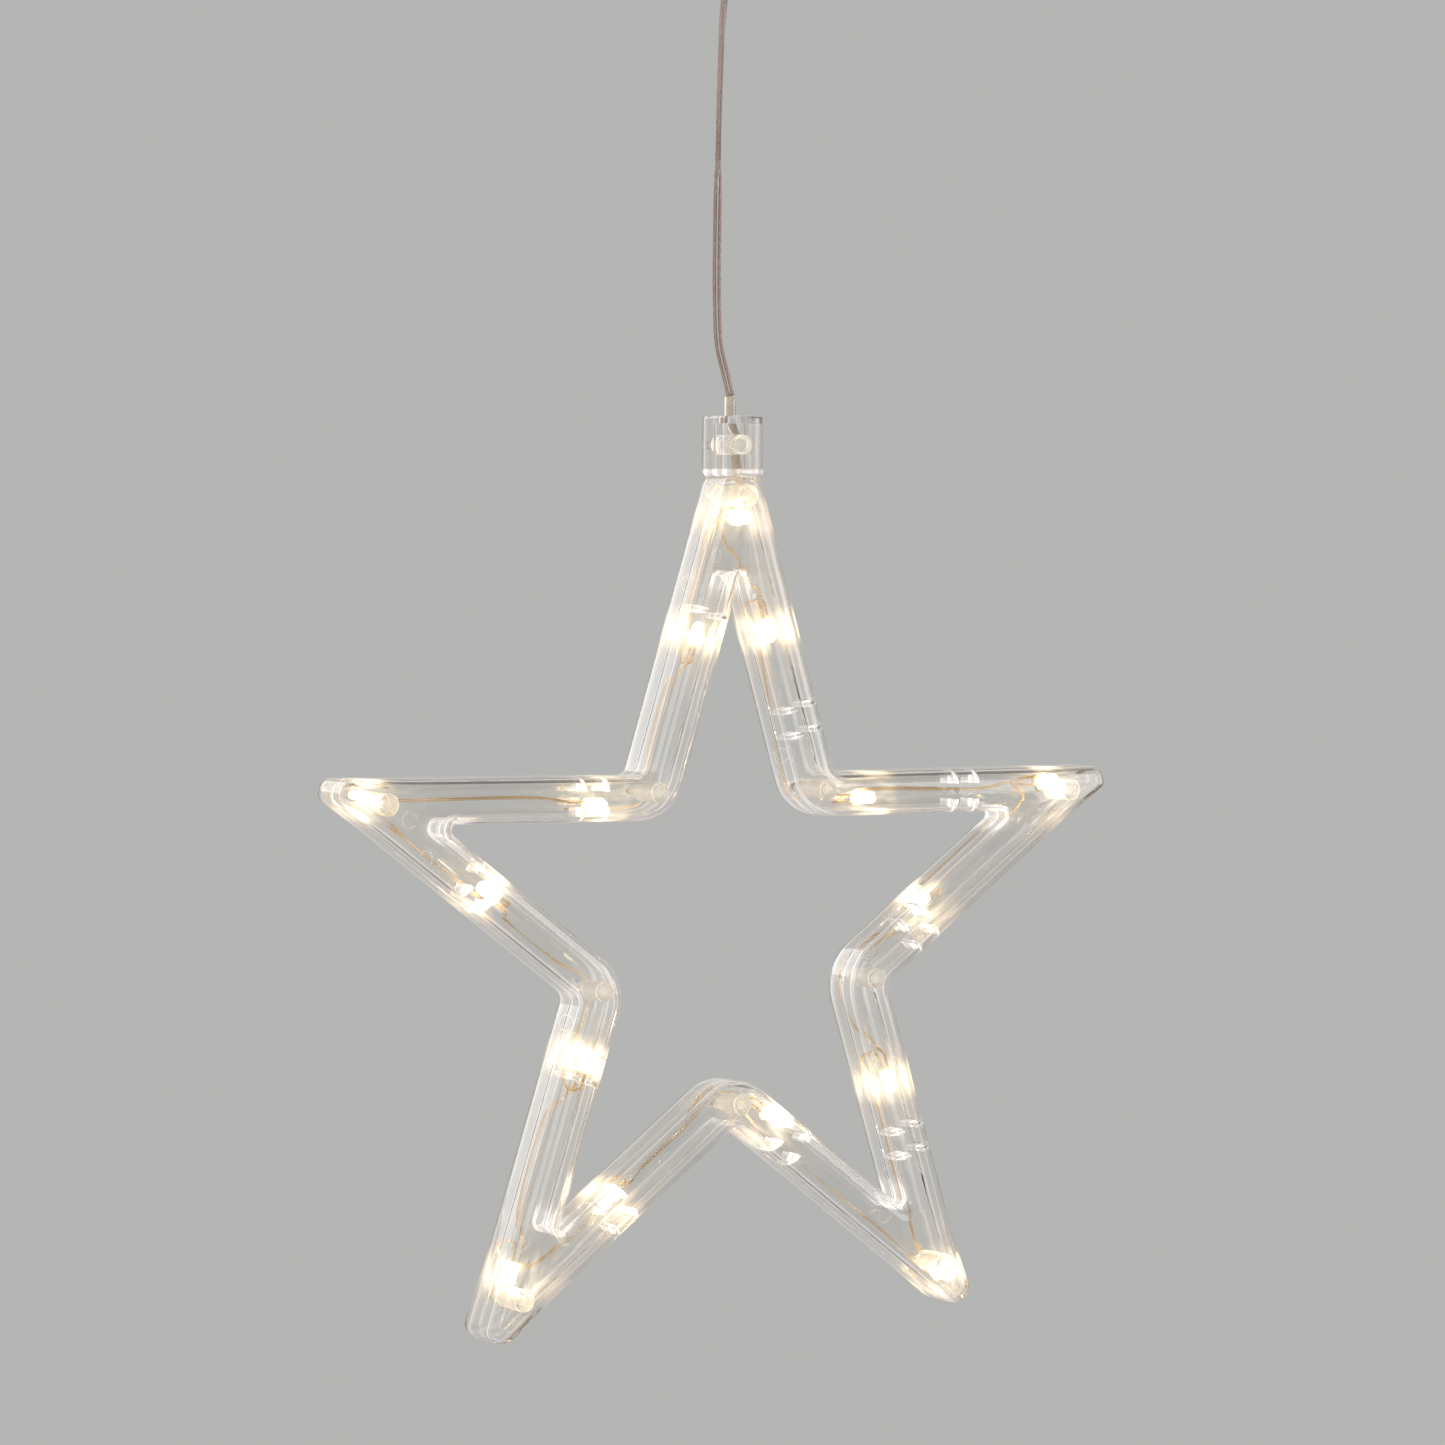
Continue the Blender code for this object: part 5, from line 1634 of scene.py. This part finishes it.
# Cap halves
def rounded_block(name, half_width, half_depth, bottom, top, corner, rim):
    """Upright block with round vertical edges and rounded top and bottom rims."""
    bm = bmesh.new()
    box(bm, (-half_width, -half_depth, bottom), (half_width, half_depth, top))
    upright = [e for e in bm.edges if abs(e.verts[0].co.z - e.verts[1].co.z) > (top - bottom) / 2]
    bmesh.ops.bevel(bm, geom=upright, offset=corner, segments=12, profile=0.5, affect="EDGES")
    if rim:
        level = [e for e in bm.edges if abs(e.verts[0].co.z - e.verts[1].co.z) < rim / 2]
        flat = [e for e in level if any(len(f.verts) > 4 for f in e.link_faces)]
        bmesh.ops.bevel(bm, geom=flat, offset=rim, segments=3, profile=0.5, affect="EDGES")
    bmesh.ops.recalc_face_normals(bm, faces=bm.faces)
    return mesh_from(name, bm)


def cap_cavity():
    low, high = cap_bottom - overrun, cap_ceiling
    return rounded_block("cavity", inner_half_width, inner_half_depth, low, high, arm_corner - wall, 0.0)


def cap_hole(bm):
    x, y, _ = sleeve_route[0]
    cylinder(bm, cap_hole_radius, Vector((x, y, cap_ceiling - overrun)), Vector((x, y, cap_top + overrun)))


def beyond_seam(side):
    """What is cut from the cap's block to leave the half on one side of the seam."""

    def draw(bm):
        low, high = sorted((side * seam_gap / 2, -side * (arm_half_depth + overrun)))
        wide = arm_half_width + overrun
        box(bm, (-wide, low, cap_bottom - overrun), (wide, high, cap_top + overrun))

    return draw


def cap_boss(radius, near, far):
    """A round bar from front to rear at the cap's socket."""

    def draw(bm):
        cylinder(
            bm,
            radius,
            Vector((cap_socket_side, near, cap_socket_z)),
            Vector((cap_socket_side, far, cap_socket_z)),
        )

    return draw


cap_wall_far = inner_half_depth + root
bore_end = cap_socket_mouth + overrun
post_end = cap_socket_mouth - cap_post_reach
cap_cuts = [
    (up_way, cap_bottom + cap_foot),
    (rear_way, cap_socket_mouth - cap_ring),
    (rear_way, -flat_half_depth),
]
for name, node_name, side, bosses in (
    (
        "cap_front_half",
        "cap_front",
        -1,
        [
            ("UNION", mesh_of("boss", cap_boss(cap_socket_radius, -cap_wall_far, cap_socket_mouth))),
            ("DIFFERENCE", mesh_of("bore", cap_boss(cap_socket_bore, socket_floor, bore_end))),
        ],
    ),
    (
        "cap_rear_half",
        "cap_rear",
        1,
        [("UNION", mesh_of("post", cap_boss(cap_post_radius, post_end, cap_wall_far)))],
    ),
):
    block = rounded_block(name, arm_half_width, arm_half_depth, cap_bottom, cap_top, arm_corner, cap_rim)
    steps = [
        ("DIFFERENCE", cap_cavity()),
        ("DIFFERENCE", mesh_of("seam", beyond_seam(side))),
        ("DIFFERENCE", mesh_of("hole", cap_hole)),
    ]
    shaded = soft_shaded(parted(combined(name, block, steps + bosses), cap_cuts))
    half = lit(shaded, slab=slab_level, foot=foot_level)
    piece(name, half, "star", [node_name], cap_plastic)


# Sleeve
sleeve_reading_step = 0.0005
sleeve_spacing = 0.0006
sleeve_sides = 24


def sleeve_mesh():
    """An open tube with a wall, its top cut at a slant."""
    line = evenly(smooth_line(sleeve_route, sleeve_reading_step), sleeve_spacing)
    tubes = []
    for radius in (sleeve_radius, sleeve_radius - sleeve_wall):
        tube = []
        for i, place in enumerate(line):
            flat, thin = ways_across(line, i, rear_way)
            ring = []
            for u, v in circle(radius, sleeve_sides):
                p = place + flat * u + thin * v
                top = sleeve_cut_z - math.tan(sleeve_cut_lean) * (p.x - sleeve_route[0][0])
                p.z = min(p.z, top)
                ring.append(p)
            tube.append(ring)
        tubes.append(tube)
    return loft("sleeve", tubes[0] + tubes[1][::-1])


sleeve = smooth_shaded(lit(sleeve_mesh(), sleeve_level, sleeve_level), limit=50)
piece("sleeve", sleeve, "star", ["cable_sleeve"], sleeve_plastic)


# Lamps
def lamp_tree(sizes):
    """A domed and flanged lamp body with two legs, at every point given."""
    tree, given, out = geometry_group("lamps", sizes)
    radius, back, sides = given["Radius"], given["Back"], given["Sides"]
    thickness, leg_long = given["Flange Thickness"], given["Leg Length"]
    dome_z = maths(tree, "SUBTRACT", given["Front"], radius)
    barrel = tube_shape(tree, radius, maths(tree, "ADD", dome_z, back), sides)
    barrel_z = maths(tree, "MULTIPLY", maths(tree, "SUBTRACT", dome_z, back), 0.5)
    ball = {"Segments": sides, "Rings": given["Dome Rings"], "Radius": radius}
    dome = node(tree, "GeometryNodeMeshUVSphere", ball).outputs["Mesh"]
    flange = tube_shape(tree, given["Flange Radius"], thickness, sides)
    flange_z = maths(tree, "SUBTRACT", maths(tree, "MULTIPLY", thickness, 0.5), back)
    body = united(
        tree,
        placed(tree, barrel, vector(tree, z=barrel_z)),
        placed(tree, dome, vector(tree, z=dome_z)),
        placed(tree, flange, vector(tree, z=flange_z)),
    )
    leg = tube_shape(tree, given["Leg Radius"], leg_long, given["Leg Sides"])
    leg_z = maths(tree, "SUBTRACT", maths(tree, "MULTIPLY", leg_long, -0.5), back)
    legs = joined(
        tree,
        *(
            placed(tree, leg, vector(tree, maths(tree, "MULTIPLY", given["Leg Pitch Half"], way), 0.0, leg_z))
            for way in (-1.0, 1.0)
        ),
    )
    epoxy_part = stored(tree, body, "metal", 0.0, "FLOAT", "FACE")
    metal_part = stored(tree, legs, "metal", 1.0, "FLOAT", "FACE")
    place = node(tree, "GeometryNodeInputPosition").outputs[0]
    lamp = stored(tree, joined(tree, epoxy_part, metal_part), "lamp_place", place, "FLOAT_VECTOR", "POINT")
    real = real_copies(tree, given["Geometry"], lamp, "dome_way", "leg_way")
    link_to(tree, out, Geometry=coated_by_metal(tree, real, given["Epoxy"], given["Leg Metal"]))
    return tree


lamp_sizes = {
    "Radius": lamp_radius,
    "Flange Radius": lamp_flange_radius,
    "Flange Thickness": lamp_flange_thickness,
    "Back": lamp_back,
    "Front": lamp_front,
    "Sides": 32,
    "Dome Rings": 16,
    "Leg Radius": leg_radius,
    "Leg Length": leg_length,
    "Leg Pitch Half": leg_pitch_half,
    "Leg Sides": 12,
    "Epoxy": epoxy,
    "Leg Metal": leg_steel,
}
lamp_middles, dome_ways, leg_ways = zip(*lamp_poses)
lamp_points = points_mesh("lamp_points", lamp_middles, dome_way=dome_ways, leg_way=leg_ways)
lamps = smooth_shaded(grown("lamps", lamp_tree(lamp_sizes), lamp_points, lamp_sizes), limit=40)
lamp_names = [f"lamp_{n:02d}" for n in range(1, len(lamp_poses) + 1)]
piece("lamps", lamps, "star", lamp_names)

# Wires
wire_radius = 0.0004
wire_core_share = 0.42
wire_reading_step = 0.0003
wire_spacing = 0.0012
lead_offset = 0.0005
lead_end_gap = clearance / 6
wire_lane = 0.0044
stub = 0.0010
loop_reach = 0.0022
drop_run = 0.0065
side_lane = 0.0016
hole_lane = -0.0026
corner_lane_in = 0.0014
tip_lane_in = 0.0080
# Places beside the tips' sockets: shares of the socket's radius outwards and sideways, and of the depth
feed_shares = (
    (0.54, 1.31, 0.118),
    (-0.23, 1.385, 0.132),
    (-1.27, 1.385, 0.265),
    (-2.0, 1.15, 0.50),
    (-2.31, 0.69, 0.632),
)
return_shares = (
    (-3.77, -1.31, 0.735),
    (-2.46, -0.46, 0.824),
    (-1.46, 0.615, 0.794),
    (-0.69, 1.27, 0.588),
    (0.0, 1.42, 0.368),
    (0.85, 1.15, 0.294),
)
top_shares = ((-2.92, -0.115, 0.647), (-4.15, 0.54, 0.676))
low_right_in_shares = ((-1.4, -0.77, 0.68), (0.15, -0.81, 0.66))
low_right_out_shares = ((1.4, 0.62, 0.72), (0.0, 0.92, 0.69), (-1.4, 0.85, 0.66))
left_in_shares = ((-1.4, -0.69, 0.68), (0.15, -0.73, 0.66), (1.46, -0.50, 0.60))
left_out_shares = ((1.46, 0.50, 0.60), (0.15, 0.73, 0.66), (-1.4, 0.69, 0.68))
near_tip_share = 0.17
past_tip_share = 0.25
past_corner_share = 0.14


def leg_end(number, leg):
    """Where a wire meets a leg, 1 for leg A and -1 for leg B, with the way that the leg points."""
    middle, dome, side = lamp_poses[number]
    end = middle + side * (leg * leg_pitch_half) - dome * (lamp_back + leg_length + clearance)
    return end, -dome


def lane(arm, share, offset=0.0):
    """A place on the wires' lane at a share of an arm's length."""
    return in_arm(arm, share * arm_length, offset, wire_lane)


def round_corner(k):
    return [polar(inner_corner_radius - corner_lane_in, heading(k) - turn / 2, wire_lane)]


def round_tip(k):
    return [polar(star_radius - tip_lane_in, heading(k), wire_lane)]


def by_socket(k, shares):
    """Places beside a tip's socket."""
    places = []
    for out, side, depth in shares:
        radius = tip_socket_at + out * tip_socket_radius
        places.append(in_tip(k, radius, side * tip_socket_radius, depth * inner_half_depth))
    return places


def leg_place(number, leg):
    """A leg's arm, distance along it, offset and depth, and the way of its lamp along the arm."""
    place = lamp_place_shares[number]
    _, arm, _, side_share, depth_share, leg_a, way = place
    offset = side_share * lamp_swing + leg * leg_a * leg_pitch_half
    return arm, lamp_along(place), offset, depth_share * lamp_depth_swing, way


def leaving(number, offset=0.0):
    """A wire's first points from leg B: straight off the leg, then into the lane."""
    end, away = leg_end(number, -1)
    points = [end, end + away * stub]
    if lamp_place_shares[number][0] == "tip":
        return points
    arm, along, beside, depth, way = leg_place(number, -1)
    deep = (wire_lane + depth) / 2
    reach = lamp_back + leg_length + clearance + stub
    if way < 0:
        points.append(in_arm(arm, along + reach + drop_run / 2, (beside + offset) / 2, deep))
        points.append(in_arm(arm, along + reach + drop_run, offset, wire_lane))
        return points
    if abs(wire_lane - depth) < loop_reach:
        points.append(in_arm(arm, along - reach - stub, (beside + offset) / 2, wire_lane))
        points.append(in_arm(arm, along - reach + stub, offset, wire_lane))
    else:
        points.append(in_arm(arm, along - reach - stub, beside, deep))
        points.append(in_arm(arm, along - reach + stub, beside, wire_lane))
    points.append(in_arm(arm, along + stub, offset, wire_lane))
    return points


def arriving(number, offset=0.0):
    """A wire's last points into leg A."""
    end, away = leg_end(number, 1)
    points = [end + away * stub, end]
    if lamp_place_shares[number][0] == "tip":
        return points
    arm, along, beside, depth, way = leg_place(number, 1)
    deep = (wire_lane + depth) / 2
    reach = lamp_back + leg_length + clearance + stub
    if way > 0:
        entry = in_arm(arm, along - reach - drop_run, offset, wire_lane)
        middle = in_arm(arm, along - reach - drop_run / 2, (beside + offset) / 2, deep)
        return [entry, middle] + points
    turning = [
        in_arm(arm, along, offset, wire_lane),
        in_arm(arm, along + reach - stub, beside, wire_lane),
        in_arm(arm, along + reach + stub, beside, deep),
    ]
    return turning + points


def lead_in_sleeve(offset):
    """A wire's places from the end of a strand of the lead down through the sleeve."""
    side = Vector((0.0, offset, 0.0))
    top = Vector((sleeve_route[0][0], 0.0, sleeve_cut_z - sleeve_radius))
    end = cord_line[0] - across * math.copysign(cord_width / 4, offset) - up_way * lead_end_gap
    return [end, top + side] + [Vector(p) + side for p in sleeve_route[1:]]


wire_routes = [
    lead_in_sleeve(-lead_offset) + by_socket(0, feed_shares) + arriving(0),
    leaving(0) + by_socket(0, top_shares) + [lane(1, past_tip_share)] + arriving(1),
    leaving(1) + round_corner(0) + arriving(2),
    leaving(2) + arriving(3),
    leaving(3)[:-1] + round_tip(1) + [lane(3, past_tip_share, hole_lane)] + arriving(4, hole_lane),
    leaving(4, side_lane) + round_corner(1) + arriving(5),
    leaving(5) + [lane(4, 1 - near_tip_share)] + by_socket(2, low_right_in_shares) + arriving(6),
    leaving(6) + by_socket(2, low_right_out_shares) + [lane(5, near_tip_share)] + arriving(7),
    leaving(7)[:-1] + round_corner(2) + [lane(6, near_tip_share)] + arriving(8),
    leaving(8) + [lane(6, 1 - near_tip_share)] + round_tip(3) + arriving(9)[1:],
    leaving(9) + arriving(10),
    leaving(10) + round_corner(3) + [lane(8, past_corner_share)] + arriving(11),
    leaving(11) + [lane(8, 1 - near_tip_share)] + by_socket(4, left_in_shares) + arriving(12),
    leaving(12) + by_socket(4, left_out_shares) + [lane(9, near_tip_share)] + arriving(13),
    leaving(13)[:-1] + round_corner(4) + [lane(10, past_corner_share)] + arriving(14),
    leaving(14)
    + [lane(10, 1 - past_tip_share)]
    + by_socket(0, return_shares)
    + lead_in_sleeve(lead_offset)[::-1],
]
wire_names = ["wire_feed"] + [f"wire_{n:02d}" for n in range(1, len(wire_routes) - 1)] + ["wire_return"]


def wire_tree(sizes):
    """Insulation round a bare core along every line given."""
    tree, given, out = geometry_group("insulated_wires", sizes)
    lines = node(tree, "GeometryNodeMeshToCurve", {"Mesh": given["Geometry"]}).outputs[0]
    tubes = []
    for part, metal in (("Insulation", 0.0), ("Core", 1.0)):
        ring = circle_curve(tree, given[part + " Radius"], given[part + " Sides"])
        shape = {"Curve": lines, "Profile Curve": ring, "Fill Caps": True}
        tube = node(tree, "GeometryNodeCurveToMesh", shape).outputs[0]
        tubes.append(stored(tree, tube, "metal", metal, "FLOAT", "FACE"))
    real = node(tree, "GeometryNodeRealizeInstances", {"Geometry": joined(tree, *tubes)}).outputs[0]
    link_to(tree, out, Geometry=coated_by_metal(tree, real, given["Insulation"], given["Core"]))
    return tree


def lines_mesh(name, lines):
    """One mesh of open lines of points."""
    mesh = bpy.data.meshes.new(name)
    places, edges = [], []
    for line in lines:
        first = len(places)
        places += [tuple(p) for p in line]
        edges += [(i, i + 1) for i in range(first, first + len(line) - 1)]
    mesh.from_pydata(places, edges, [])
    return mesh


wire_sizes = {
    "Insulation Radius": wire_radius,
    "Insulation Sides": 10,
    "Core Radius": wire_radius * wire_core_share,
    "Core Sides": 6,
    "Insulation": wire_plastic,
    "Core": wire_copper,
}
wire_lines = [evenly(smooth_line(route, wire_reading_step), wire_spacing) for route in wire_routes]
wires = grown("wires", wire_tree(wire_sizes), lines_mesh("wire_lines", wire_lines), wire_sizes)
lit(smooth_shaded(wires, limit=50), wire_level, wire_level)
piece("wires", wires, "star", wire_names)

# Ceiling fitting
plate_radius = 0.0200
plate_thickness = 0.0025
plate_stem_radius = 0.0050
plate_stem_gap = 0.0026
plate_bore = 0.0031
plate_bore_top = 0.0120
screw_at = 0.0130
screw_radius = 0.0015
screw_head_radius = 0.0029
screw_head_height = 0.0014
slot_length = 0.0034
slot_width = 0.0007
slot_depth = 0.0009
cover_rim_gap = 0.0011
cover_drop = 0.0008
cover_skirt = 0.0050
cover_bottom = 0.0260
cover_neck_radius = 0.0080
cover_wall = 0.0014
grip_stem_top = 0.0150
grip_flange_radius = 0.0065
grip_flange_height = 0.0030
grip_mouth_radius = 0.0030
grip_round = 0.0008
flute_count = 28
flute_depth_share = 0.035
flute_reach_share = 0.52  # of the flange's height, from its middle up and down
edge_round = 0.0004
edge_steps = 5
least_corner = math.radians(25)  # a flatter corner of a profile isn't rounded
bell_steps = 24
grip_steps = 8
grip_taper = 0.8
cover_radius = plate_radius + cover_rim_gap + cover_wall
plate_stem_end = cover_bottom - cover_wall - plate_stem_gap
ceiling = Vector((0.0, 0.0, 0.0))


def eased(profile, closed=False):
    """A profile with its sharp corners rounded."""
    points = []
    for i, point in enumerate(profile):
        if not closed and i in (0, len(profile) - 1):
            points.append(point)
            continue
        before, after = Vector(profile[i - 1]), Vector(profile[(i + 1) % len(profile)])
        corner = Vector(point)
        if (corner - before).angle(after - corner) < least_corner:
            points.append(point)
        else:
            points += [tuple(p) for p in arc(before, corner, after, edge_round, edge_steps)]
    return points


def screw_hole(x):
    """What is cut from the plate for a countersunk screw."""
    shank, head = screw_radius + clearance, screw_head_radius + clearance
    profile = [
        (0.0, overrun),
        (shank, overrun),
        (shank, screw_head_height - plate_thickness + clearance),
        (head, -plate_thickness),
        (head, -plate_thickness - overrun),
        (0.0, -plate_thickness - overrun),
    ]
    mesh = turned("screw_hole", profile, sides=48)
    mesh.transform(Matrix.Translation((x, 0.0, 0.0)))
    return mesh


def ceiling_plate_mesh():
    """The disc with its hollow stem and its two screw holes."""
    profile = [
        (0.0, 0.0),
        (plate_radius, 0.0),
        (plate_radius, -plate_thickness),
        (plate_stem_radius, -plate_thickness),
        (plate_stem_radius, -plate_stem_end),
        (plate_bore, -plate_stem_end),
        (plate_bore, -plate_bore_top),
        (0.0, -plate_bore_top),
    ]
    plate = turned("ceiling_plate", eased(profile))
    holes = [("DIFFERENCE", screw_hole(x)) for x in (-screw_at, screw_at)]
    return combined("ceiling_plate", plate, holes)


def cover_profile():
    """The bell's wall, from its rim down outside to the neck's hole and back up inside."""
    width, height = cover_radius - cover_neck_radius, cover_bottom - cover_skirt
    sides = []
    for inset in (0.0, cover_wall):
        side = [(cover_radius - inset, -cover_drop), (cover_radius - inset, -cover_skirt)]
        for i in range(1, bell_steps + 1):
            a = math.pi / 2 * i / bell_steps
            out = cover_neck_radius + (width - inset) * math.cos(a)
            side.append((out, -cover_skirt - (height - inset) * math.sin(a)))
        side.append((plate_bore, -cover_bottom + inset))
        sides.append(side)
    return eased(sides[0] + sides[1][::-1], closed=True)


def grip_profile():
    """The turned grip, from its stem's top down to its mouth."""
    flange_top = -cover_bottom - clearance
    flange_end = flange_top - grip_flange_height
    stem = plate_bore - clearance
    profile = [
        (0.0, -grip_stem_top),
        (stem, -grip_stem_top),
        (stem, flange_top),
        (grip_flange_radius, flange_top),
        (grip_flange_radius, flange_end),
    ]
    low = -grip_mouth + 2 * grip_round
    high = grip_flange_radius - 2 * edge_round
    for i in range(1, grip_steps + 1):
        share = i / grip_steps
        wide = high + (grip_mouth_radius + grip_round - high) * share**grip_taper
        profile.append((wide, flange_end + (low - flange_end) * share))
    return eased(profile + [(grip_mouth_radius, -grip_mouth), (0.0, -grip_mouth)])


def grip_flutes(angle, height):
    """Finger flutes round the grip's flange."""
    middle = -cover_bottom - clearance - grip_flange_height / 2
    share = max(0.0, 1.0 - (abs(height - middle) / (grip_flange_height * flute_reach_share)) ** 4)
    return 1.0 - flute_depth_share * share * (0.5 + 0.5 * math.cos(flute_count * angle)) ** 2


def screw_tree(sizes):
    """A countersunk screw with a crossed slot, at every point given."""
    tree, given, out = geometry_group("plate_screws", sizes)
    cone = {
        "Vertices": given["Head Sides"],
        "Radius Top": given["Shank Radius"],
        "Radius Bottom": given["Head Radius"],
        "Depth": given["Head Height"],
    }
    head = node(tree, "GeometryNodeMeshCone", cone).outputs["Mesh"]
    shank = tube_shape(tree, given["Shank Radius"], given["Shank Length"], given["Shank Sides"])
    shank_z = maths(tree, "MULTIPLY", given["Shank Length"], 0.5)
    solid = united(tree, head, placed(tree, shank, vector(tree, z=shank_z)))
    cut = node(tree, "GeometryNodeMeshBoolean", {"Mesh 1": solid}, operation="DIFFERENCE")
    deep = maths(tree, "MULTIPLY", given["Slot Depth"], 2.0)
    for x, y in (("Slot Length", "Slot Width"), ("Slot Width", "Slot Length")):
        slot = node(tree, "GeometryNodeMeshCube", {"Size": vector(tree, given[x], given[y], deep)})
        tree.links.new(slot.outputs["Mesh"], cut.inputs["Mesh 2"])
    real = real_copies(tree, given["Geometry"], cut.outputs["Mesh"])
    link_to(tree, out, Geometry=coated(tree, real, given["Material"]))
    return tree


screw_sizes = {
    "Shank Radius": screw_radius,
    "Shank Length": plate_thickness - clearance,
    "Shank Sides": 32,
    "Head Radius": screw_head_radius,
    "Head Height": screw_head_height + root,
    "Head Sides": 48,
    "Slot Length": slot_length,
    "Slot Width": slot_width,
    "Slot Depth": slot_depth,
    "Material": screw_steel,
}
screw_points = points_mesh("screw_points", [(x, 0.0, -plate_thickness - root) for x in (-screw_at, screw_at)])
screws = grown("plate_screws", screw_tree(screw_sizes), screw_points, screw_sizes)
screws.set_sharp_from_angle(angle=math.radians(30))
disc = soft_shaded(ceiling_plate_mesh())
bell = soft_shaded(turned("ceiling_bell", cover_profile(), sides=128))
grip = soft_shaded(turned("lead_grip", grip_profile(), sides=168, flutes=grip_flutes), limit=60)
piece("plate_screws", screws, "fitting", ["plate_screw_1", "plate_screw_2"], at=ceiling)
piece("ceiling_disc", disc, "fitting", ["ceiling_plate"], plate_steel, ceiling)
piece("ceiling_bell", bell, "fitting", ["ceiling_cover"], fitting_white, ceiling)
lead_grip = piece("lead_grip", grip, "fitting", ["cord_grip"], fitting_white, ceiling)


# Floor, far enough below the ceiling that it stands under the picture
floor_z = -1.9
floor_radius = 4.0


def floor():
    """A plain pale floor below the hanging star."""
    bm = bmesh.new()
    bmesh.ops.create_circle(bm, cap_ends=True, segments=96, radius=floor_radius)
    mesh = mesh_from("floor", bm)
    paint = grained("floor_paint", (0.80, 0.80, 0.79), (0.77, 0.77, 0.76), 0.6, 0.8, 60.0, 0.0001)
    mesh.materials.append(paint)
    obj = bpy.data.objects.new("floor", mesh)
    obj.location = (0.0, 0.0, floor_z)
    bpy.context.scene.collection.objects.link(obj)


floor()
